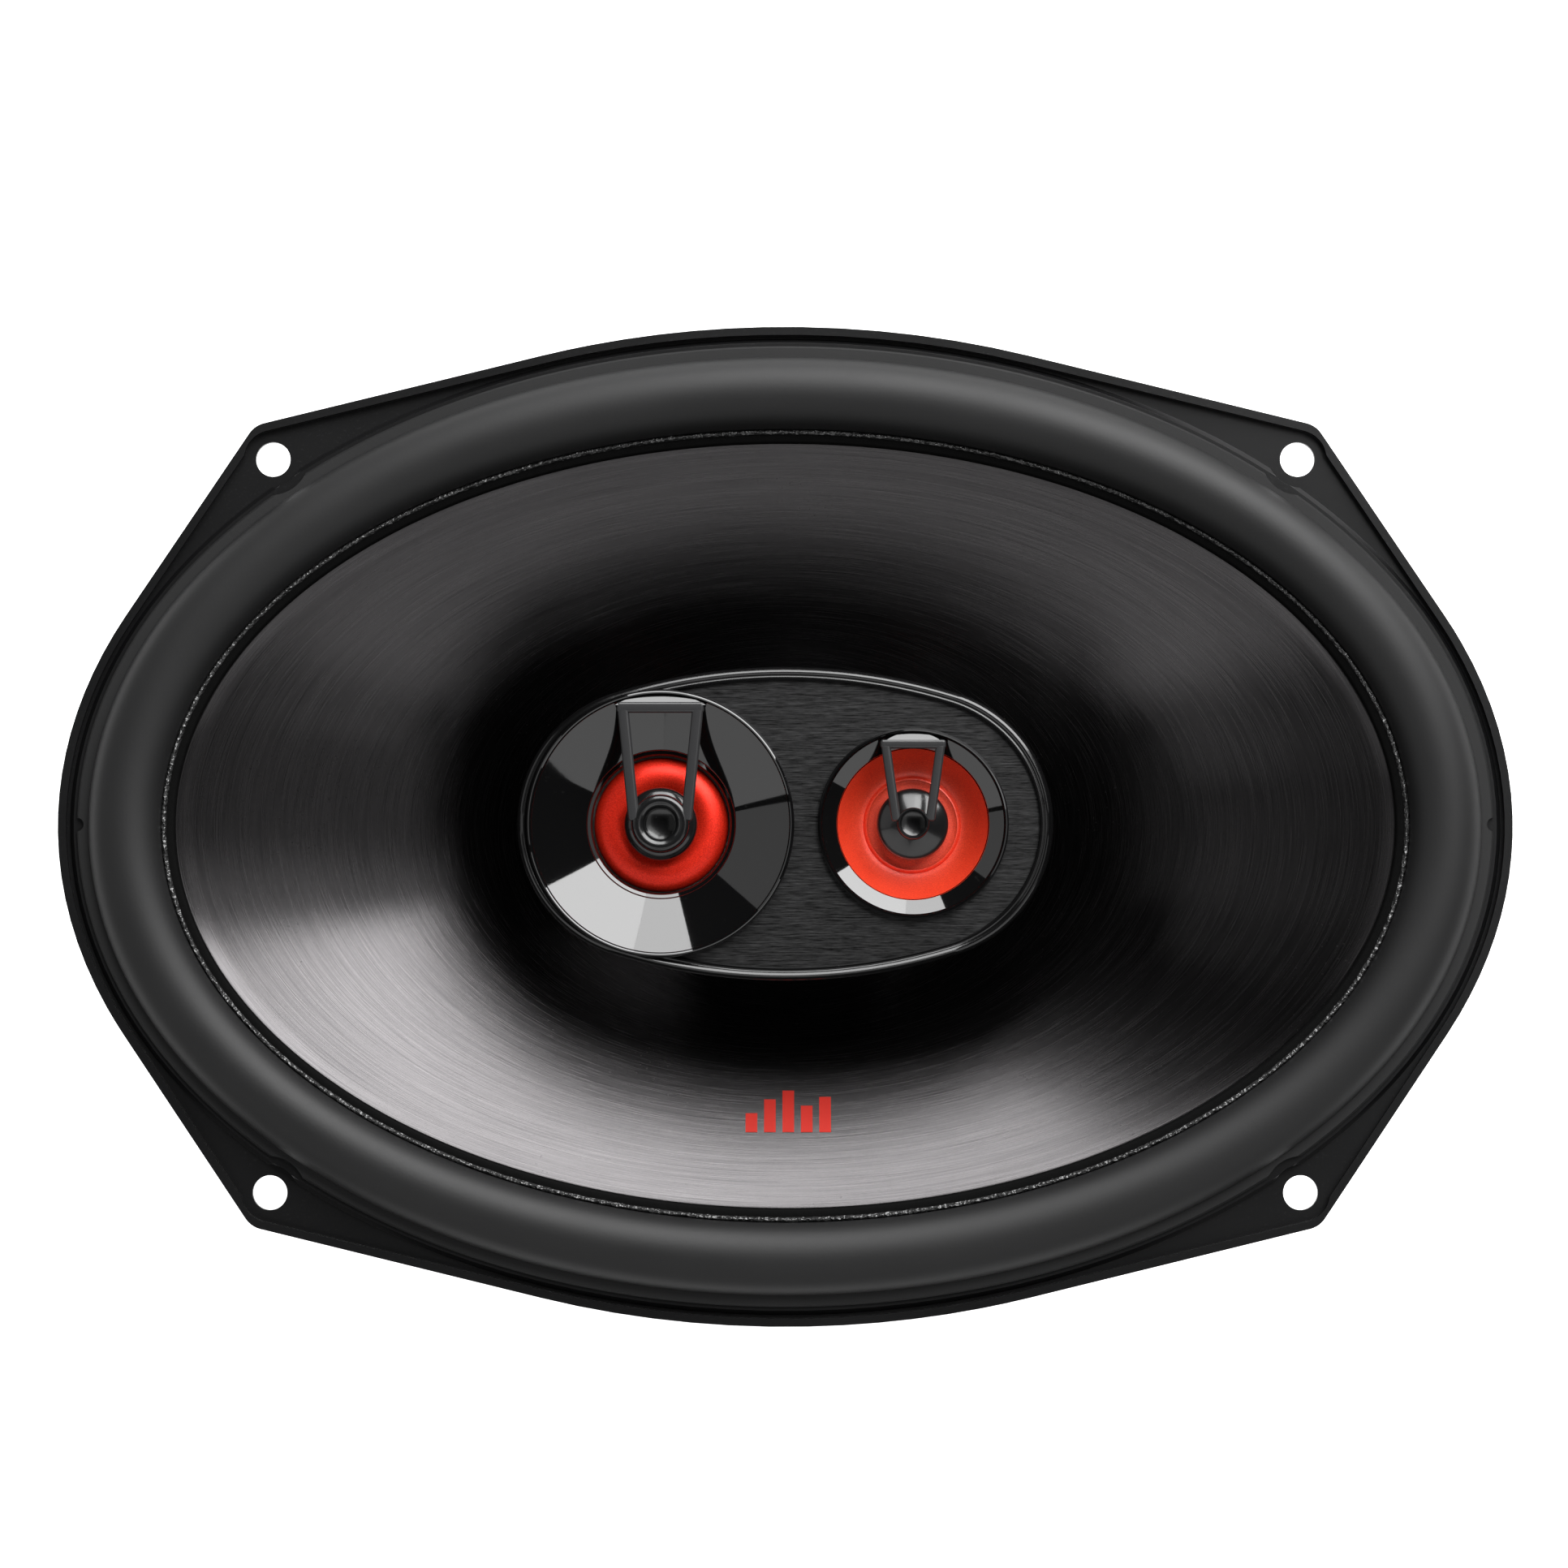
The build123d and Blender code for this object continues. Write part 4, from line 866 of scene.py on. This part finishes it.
def podRing(name, z):
    halfLength, halfWidth, endRadius = podHigh.x, podHigh.y, podShape["endRadius"]
    endX = halfLength - endRadius
    side = (endX ** 2 + halfWidth ** 2 - endRadius ** 2) / (2 * (halfWidth - endRadius))
    sideY = halfWidth - side
    lean = math.atan2(-sideY, endX)
    endTurn, sideTurn = 2 * lean, math.pi - 2 * lean
    arcs = [(endX, 0, endTurn), (0, sideY, sideTurn), (-endX, 0, endTurn), (0, -sideY, sideTurn)]
    start = (endX + endRadius * math.cos(lean), -endRadius * math.sin(lean), z)
    deselect()
    bpy.ops.mesh.primitive_plane_add(size=mm, location=Vector(start) * mm)
    piece = bpy.context.object
    piece.name = piece.data.name = name
    bpy.ops.object.transform_apply(location=True, rotation=True, scale=True)
    bpy.ops.object.mode_set(mode="EDIT")
    bpy.ops.mesh.select_all(action="SELECT")
    bpy.ops.mesh.merge(type="CENTER")
    for x, y, sweep in arcs:
        steps = podShape["steps"] * (1 if abs(x) < 0.01 else 2)
        # a positive angle would draw the oval the other way round
        bpy.ops.mesh.spin(steps=steps, angle=-sweep, center=Vector((x, y, z)) * mm, axis=(0, 0, 1))
    bpy.ops.mesh.select_all(action="SELECT")
    bpy.ops.mesh.remove_doubles(threshold=0.00002)
    bpy.ops.object.mode_set(mode="OBJECT")
    return piece


def podInset(inset, z):
    return podHigh.x - inset, podHigh.y - inset, z


def makePodHousing():
    s = podShape
    top, low, floor = podHigh.z, podLow.z, podLow.z + s["wall"]
    seat, waist = plateTop - s["seatDrop"], low + s["waist"]
    rings = [podInset(0, waist)] + [podInset(inset, top - drop) for inset, drop in podRim]
    rings += [podInset(s["lip"], seat), podInset(s["body"], seat), podInset(s["body"], waist)]
    rings += [podInset(s["floorInset"] + s["wall"], floor)]
    rings += [podInset(s["floorInset"] + s["opening"], z) for z in (floor, low)]
    rings += [podInset(inset, low + rise) for inset, rise in podBelly] + [rings[0]]
    piece = growRings(podRing("Pod_housing", rings[0][2]), rings, closed=True)
    smooth(piece, 42)
    # the middle of the floor, with the stem's bore left open
    bore, reach = s["discBore"], podHigh.y - s["discMargin"]
    section = [(bore, low), (reach, low), (reach, floor), (bore, floor), (bore, low)]
    disc = ringPiece("Pod_floor", roundRings(section), count=96, closed=True)
    only(disc)
    disc.scale = (s["discStretch"], 1, 1)
    bpy.ops.object.transform_apply(location=False, rotation=False, scale=True)
    piece = together("Pod_housing", [piece, disc])
    evenShading(piece)
    dress(piece, podGloss, "frame", "pod_gloss", "pod_housing")
    return piece


plateEdge = [  # inset from the pod's oval, height against the plate's top
    (2.35, -1.55), (2.35, -0.42), (2.45, -0.16), (2.69, -0.04), (2.97, -0.12),
    (3.07, -0.12), (3.13, -0.05), (3.25, 0), (3.55, 0),
]
plateHoles = {"midrange": 1.2, "tweeter": 0.9, "depth": 6}  # how far each hole is inside its bezel


def makeFacePlate():
    rings = [podInset(inset, plateTop + rise) for inset, rise in plateEdge]
    piece = growRings(podRing("Face_plate", rings[0][2]), rings, capped=True)
    only(piece)
    bpy.ops.object.mode_set(mode="EDIT")
    bpy.ops.mesh.select_all(action="SELECT")
    bpy.ops.mesh.region_to_loop()
    bpy.ops.mesh.edge_face_add()
    bpy.ops.mesh.select_all(action="SELECT")
    bpy.ops.mesh.normals_make_consistent(inside=False)
    bpy.ops.object.mode_set(mode="OBJECT")
    holes = (
        (midrangeSpot, midrangeRadius - plateHoles["midrange"]),
        (tweeterSpot, tweeterRadius - plateHoles["tweeter"]),
    )
    for spot, radius in holes:
        deselect()
        bpy.ops.mesh.primitive_cylinder_add(
            vertices=160, radius=radius * mm, depth=plateHoles["depth"] * mm,
            location=Vector((*spot, plateTop)) * mm)
        carve(piece, bpy.context.object)
    smooth(piece, 30)
    evenShading(piece)
    dress(piece, brushedPlate, "frame", "brushed_face", "pod_face_plate")
    return piece


# The midrange dish: a raised ring, a sloping polished cone and a matt black lip round the dome.
dishProfile = [
    (-0.50, -1.4), (-0.50, 1.35), (-0.58, 1.68), (-0.76, 1.93), (-0.98, 2.02), (-1.16, 1.90), (-1.24, 1.62),
    (-1.26, 1.42), (-1.36, 1.24), (-9.92, -3.05), (-10.08, -3.30), (-10.14, -3.75), (-10.62, -3.95),
    (-10.9, -4.35), (-10.9, -11.8), (-9.4, -11.8), (-9.4, -6.0), (-2.6, -1.6), (-2.6, -1.4), (-0.50, -1.4),
]
tweeterProfile = [
    (-0.15, 0.02), (-0.15, 0.75), (-0.24, 1.10), (-0.45, 1.36), (-0.66, 1.40), (-0.84, 1.18), (-0.90, 0.92),
    (-1.00, 0.80), (-3.24, -0.72), (-3.30, -0.95), (-3.30, -4.4), (-5.0, -5.9), (-5.0, -11.4),
    (-3.9, -11.4), (-3.9, -5.7), (-1.1, -4.2), (-1.1, 0.02), (-0.15, 0.02),
]


def makeBezel(name, profile, radius, spot, material, slot, node):
    rings = roundRings([(radius + r, plateTop + z) for r, z in profile])
    piece = ringPiece(name, rings, spot, count=200, closed=True)
    smooth(piece, 32)
    evenShading(piece)
    dress(piece, material, "frame", slot, node)
    return piece


# Domes: pressed foil with a rolled rim.
def makeDome(name, profile, spot, material, body, slot, node, foil=0.3):
    top = [(r, plateTop + z) for r, z in profile]
    bottom = [(r, z - foil) for r, z in top[::-1]]
    rings = roundRings(top + bottom + top[:1])
    piece = ringPiece(name, rings, spot, count=144, closed=True)
    smooth(piece, 50)
    dress(piece, material, body, slot, node)
    return piece


midrangeDome = [
    (10.85, -6.3), (10.82, -5.75), (10.55, -5.25), (10.0, -4.78), (9.3, -4.38), (8.5, -4.08), (7.7, -3.95),
    (6.9, -4.02), (6.1, -4.32), (5.0, -4.7), (3.0, -5.0), (0.6, -5.15),
]
tweeterDome = [
    (12.1, -1.75), (11.7, -2.6), (11.1, -3.7), (10.4, -4.75), (9.6, -5.6), (8.8, -6.2), (8.2, -6.5),
    (7.9, -6.55), (7.78, -6.35), (7.6, -6.12), (7.3, -6.05), (7.1, -6.2), (6.4, -6.25), (5.4, -6.2),
    (3.0, -6.15), (0.6, -6.15),
]


# Plugs: the centre piece, its small ring and the two-legged bridge that carries it.
bridgeShapes = {
    "midrange": {
        "top": 7.0, "bar": 1.8, "foot": 4.2, "seat": 1.1, "thick": 0.95, "inset": 1.0, "fall": 0.42,
        "round": 14.0,
    },
    "tweeter": {
        "top": 5.25, "bar": 1.5, "foot": 2.7, "seat": 0.65, "thick": 0.9, "inset": 0.75, "fall": 0.42,
        "round": 7.5,
    },
}
bridgeFit = {"gap": 0.3, "cut": 0.35, "tuck": 0.55, "footRise": 0.4, "soft": 0.28}


def makeBar(start, end, width, low, thick):
    along = Vector(end) - Vector(start)
    spot = (Vector(start) + Vector(end)) / 2
    deselect()
    bpy.ops.mesh.primitive_cube_add(size=1, location=Vector((spot.x, spot.y, low + thick / 2)) * mm)
    bar = bpy.context.object
    bar.scale = Vector((along.length, width, thick)) * mm
    bar.rotation_euler.z = math.atan2(along.y, along.x)
    bpy.ops.object.transform_apply(location=True, rotation=True, scale=True)
    bevelled(bar, width * 0.34, 3)
    return bar


def lowerFarSide(cap, fromY, above, fall):
    # the top slopes away from the bar, so it catches the light from behind
    for vertex in cap.data.vertices:
        if vertex.co.z > above * mm:
            vertex.co.z -= max(vertex.co.y - fromY * mm, 0) * fall


def makeBridge(shape, spot, radius):
    reach = radius - shape["inset"]
    low, thick, bar = plateTop + shape["seat"], shape["thick"], shape["bar"]
    barY = math.sqrt(reach ** 2 - shape["top"] ** 2) - bridgeFit["gap"]
    x, y = spot
    levelY, cutY = y + barY - bar / 2, y + barY - bar * bridgeFit["cut"]
    parts = [makeBar((x - shape["top"], levelY), (x + shape["top"], levelY), bar, low, thick)]
    for side in (-1, 1):
        top = (x + side * (shape["top"] - bar * bridgeFit["tuck"]), levelY)
        parts.append(makeBar(top, (x + side * shape["foot"], y + bridgeFit["footRise"]), bar, low, thick))
    deselect()
    bpy.ops.mesh.primitive_circle_add(
        vertices=160, radius=shape["round"] * mm, fill_type="NGON",
        location=Vector((x, y + reach - shape["round"], low)) * mm)
    cap = bpy.context.object
    bpy.ops.object.transform_apply(location=True, rotation=True, scale=True)
    bpy.ops.object.mode_set(mode="EDIT")
    bpy.ops.mesh.select_all(action="SELECT")
    bpy.ops.mesh.bisect(
        plane_co=Vector((x, cutY, low)) * mm, plane_no=(0, 1, 0), use_fill=False, clear_inner=True)
    bpy.ops.mesh.select_all(action="SELECT")
    bpy.ops.mesh.extrude_region_move(TRANSFORM_OT_translate={"value": (0, 0, thick * mm)})
    bpy.ops.mesh.select_all(action="SELECT")
    bpy.ops.mesh.normals_make_consistent(inside=False)
    bpy.ops.object.mode_set(mode="OBJECT")
    lowerFarSide(cap, cutY, low + thick * 0.5, shape["fall"])
    bevelled(cap, bridgeFit["soft"], 3)
    for part in parts:
        part.data.materials.append(plugGloss)
    cap.data.materials.append(capGloss)
    return parts + [cap]


midrangePlug = [
    (5.88, -2.6), (5.88, -1.7), (5.72, -1.25), (5.4, -0.85), (5.0, -0.55), (4.72, -0.40), (4.6, -0.1),
    (4.6, 1.45), (4.5, 1.75), (4.2, 2.0), (3.8, 2.1), (3.35, 2.04), (2.9, 1.8), (2.6, 1.4), (2.48, 0.8),
    (2.44, -1.4), (2.3, -1.5), (0.0, -1.5),
]
tweeterPlug = [
    (5.70, -5.6), (5.76, -3.1), (5.70, -2.82), (5.52, -2.62), (5.0, -2.28), (4.3, -1.88), (3.5, -1.46),
    (2.62, -1.06), (2.55, -0.9), (2.55, 1.25), (2.48, 1.48), (2.34, 1.6), (2.16, 1.58), (2.02, 1.42),
    (1.96, 1.1), (1.94, -0.9), (1.8, -1.0), (0.0, -1.0),
]


def makePlug(name, profile, shape, spot, radius, node):
    rings = roundRings([(r, plateTop + z) for r, z in profile])
    body = ringPiece(name, rings, spot, count=120)
    only(body)
    bpy.ops.object.mode_set(mode="EDIT")
    bpy.ops.mesh.select_all(action="SELECT")
    bpy.ops.mesh.region_to_loop()
    bpy.ops.mesh.edge_face_add()
    bpy.ops.mesh.select_all(action="SELECT")
    bpy.ops.mesh.normals_make_consistent(inside=False)
    bpy.ops.object.mode_set(mode="OBJECT")
    body.data.materials.append(hubGloss)
    piece = together(name, [body] + makeBridge(shape, spot, radius))
    smooth(piece, 38)
    evenShading(piece)
    dress(piece, None, "frame", "plug_gloss", node)
    return piece


# Braided leads: strands wound round the lead's slack line.
leadShape = {
    "radius": 0.42, "strand": 0.42, "strands": 4, "turns": 15, "points": 150,
    "lugX": 11.0, "eyeletX": 9.0, "eyeletY": -24.0,
}


def leadRoute(side):
    lug = nodeBox("terminal_rivets")
    eyelet = nodeBox("lead_eyelets")
    node = nodeBox("negative_lead" if side > 0 else "positive_lead")
    lugX, eyeX = side * leadShape["lugX"], side * leadShape["eyeletX"]
    startY, lugZ = node[0].y, (lug[0].z + lug[1].z) / 2
    eyeY, endZ = leadShape["eyeletY"], eyelet[0].z
    return [
        (lugX, startY, lugZ), (lugX, startY + 6.0, lugZ), (lugX + side * 0.4, startY + 14.5, lugZ - 3.2),
        (lugX, startY + 24.0, lugZ - 6.4), (eyeX + side * 0.8, startY + 33.0, lugZ - 7.6),
        (eyeX + side * 0.2, eyeY - 3.2, endZ - 3.6), (eyeX, eyeY, endZ - 2.8), (eyeX, eyeY, endZ),
    ]


def smoothLine(route, resolution=16):
    curve = bpy.data.curves.new("Line", "CURVE")
    curve.dimensions = "3D"
    spline = curve.splines.new("NURBS")
    spline.points.add(len(route) - 1)
    for point, place in zip(spline.points, route):
        point.co = (*[c * mm for c in place], 1)
    spline.order_u, spline.use_endpoint_u, spline.resolution_u = 3, True, resolution
    holder = bpy.data.objects.new("Line", curve)
    bpy.context.scene.collection.objects.link(holder)
    bpy.context.view_layer.update()
    mesh = bpy.data.meshes.new_from_object(holder)
    points = [v.co.copy() for v in mesh.vertices]
    bpy.data.meshes.remove(mesh)
    bpy.data.objects.remove(holder)
    return points


def evenly(points, count):
    lengths = [0.0]
    for before, after in zip(points, points[1:]):
        lengths.append(lengths[-1] + (after - before).length)
    made, j = [], 0
    for i in range(count):
        want = lengths[-1] * i / (count - 1)
        while j < len(lengths) - 2 and lengths[j + 1] < want:
            j += 1
        share = (want - lengths[j]) / max(lengths[j + 1] - lengths[j], 1e-9)
        made.append(points[j].lerp(points[j + 1], min(share, 1.0)))
    return made


def tubeAlong(name, points, radius, sides=2):
    curve = bpy.data.curves.new(name, "CURVE")
    curve.dimensions = "3D"
    curve.bevel_depth, curve.bevel_resolution, curve.use_fill_caps = radius * mm, sides, True
    spline = curve.splines.new("POLY")
    spline.points.add(len(points) - 1)
    for point, place in zip(spline.points, points):
        point.co = (*place, 1)
    holder = bpy.data.objects.new(name, curve)
    bpy.context.scene.collection.objects.link(holder)
    only(holder)
    bpy.ops.object.convert(target="MESH")
    return bpy.context.object


def makeLead(side, name, node, slot):
    s = leadShape
    line = evenly(smoothLine(leadRoute(side)), s["points"])
    strands = []
    for strand in range(s["strands"]):
        places = []
        for i, point in enumerate(line):
            ahead = line[min(i + 1, len(line) - 1)] - line[max(i - 1, 0)]
            across = ahead.cross(Vector((1, 0, 0))).normalized()
            other = ahead.cross(across).normalized()
            way = 1 if strand % 2 else -1
            turn = way * 2 * math.pi * s["turns"] * i / len(line) + math.pi * strand / 2
            reach = s["radius"] * mm * (0.82 + 0.18 * math.cos(2 * turn))
            places.append(point + across * math.cos(turn) * reach + other * math.sin(turn) * reach)
        strands.append(tubeAlong(f"{name}_{strand}", places, s["strand"]))
    piece = together(name, strands)
    smooth(piece, 60)
    dress(piece, braidCopper, None, slot, node)
    route = leadRoute(side)
    [c * mm for c in route[0]]
    [c * mm for c in (route[0][0], -26.0, route[0][2])]
    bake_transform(piece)
    return piece


# The rest of the CAD pieces keep their shape and get their finish.
cadFinishes = {
    "motor_rivets": platedSteel, "coil_former": formerAlloy, "coil_winding": winding,
    "lead_eyelets": tinnedBrass, "top_plate": blackPlate, "ferrite_magnet": ferrite,
    "yoke": zinc, "magnet_boot": bootRubber,
    "pod_stem": darkAlloy, "stem_washer": zinc, "pod_screws": platedSteel,
    "midrange_winding": winding, "midrange_cup": zinc, "midrange_magnet": nickel,
    "midrange_pole_plate": zinc, "tweeter_winding": winding, "tweeter_cup": zinc,
    "tweeter_magnet": nickel, "tweeter_pole_plate": zinc,
    "terminal_rivets": tinnedBrass, "midrange_capacitor": blueSleeve, "tweeter_capacitor": blueSleeve,
    "capacitor_pads": foam, "midrange_wire": redWire, "tweeter_wire": whiteWire, "common_wire": blackWire,
    "midrange_jumper": redWire, "tweeter_jumper": whiteWire,
}


def dressCadPieces():
    for node, material in cadFinishes.items():
        for slot in frame["nodes"][node].material_slots:
            slot.material = material


terminalEdges = {"board": 0.25, "blade": 0.12, "nut": 0.25}


def makeTerminals():
    softened("terminal_board", boardPlastic, terminalEdges["board"], "board_plastic")
    for node in ("positive_blade", "negative_blade"):
        softened(node, tinnedBrass, terminalEdges["blade"], "tinned_brass")
    softened("stem_nut", zinc, terminalEdges["nut"], "zinc_plate")


floorShape = {"size": 6, "gap": 0.0002}  # metres


def placeFloor():
    deselect()
    bpy.ops.mesh.primitive_plane_add(
        size=floorShape["size"], location=(0, 0, floorHeight - floorShape["gap"]))
    floor = bpy.context.object
    floor.name = "Floor"
    floor.data.materials.append(makeFloor())


sky = {"backdrop": 1.1, "light": 0.02}


def setWorld():
    world = bpy.data.worlds.new("Studio")
    world.use_nodes = True
    nodes, links = world.node_tree.nodes, world.node_tree.links
    background = nodes["Background"]
    background.inputs["Color"].default_value = (1.0, 1.0, 1.0, 1.0)
    # a white backdrop for the camera, but hardly any light from it
    paths = nodes.new("ShaderNodeLightPath")
    glow = nodes.new("ShaderNodeMath")
    glow.operation = "MULTIPLY_ADD"
    glow.inputs[1].default_value, glow.inputs[2].default_value = sky["backdrop"], sky["light"]
    links.new(paths.outputs["Is Camera Ray"], glow.inputs[0])
    links.new(glow.outputs[0], background.inputs["Strength"])
    bpy.context.scene.world = world
    bpy.context.scene.view_settings.view_transform = "Standard"


placeCamera()
placeLights()
setWorld()
placeFloor()
print("camera, lights and floor placed")

makeBasket()
print("basket made")
makeSurround()
print("surround made")
makeLevelMark(makeCone())
makeGlueBeads()
makeSpider()
print("cone, beads and spider made")
makePodHousing()
makeFacePlate()
print("pod made")
makeBezel(
    "Midrange_dish", dishProfile, midrangeRadius, midrangeSpot, pianoBlack, "dish_gloss", "midrange_bezel")
makeBezel(
    "Tweeter_ring", tweeterProfile, tweeterRadius, tweeterSpot, pianoBlack, "dish_gloss", "tweeter_bezel")
makeDome(
    "Midrange_dome", midrangeDome, midrangeSpot, deepRed, "midrange_diaphragm", "red_dome",
    "midrange_dome")
makeDome(
    "Tweeter_dome", tweeterDome, tweeterSpot, brightRed, "tweeter_diaphragm", "bright_red_dome",
    "tweeter_dome")
makePlug(
    "Midrange_plug", midrangePlug, bridgeShapes["midrange"], midrangeSpot, midrangeRadius,
    "midrange_phase_plug")
makePlug(
    "Tweeter_plug", tweeterPlug, bridgeShapes["tweeter"], tweeterSpot, tweeterRadius,
    "tweeter_phase_plug")
print("drivers made")
makeLead(-1, "Positive_lead", "positive_lead", "braided_copper")
makeLead(1, "Negative_lead", "negative_lead", "braided_copper")
makeTerminals()
dressCadPieces()
print("leads, terminals and CAD finishes done")
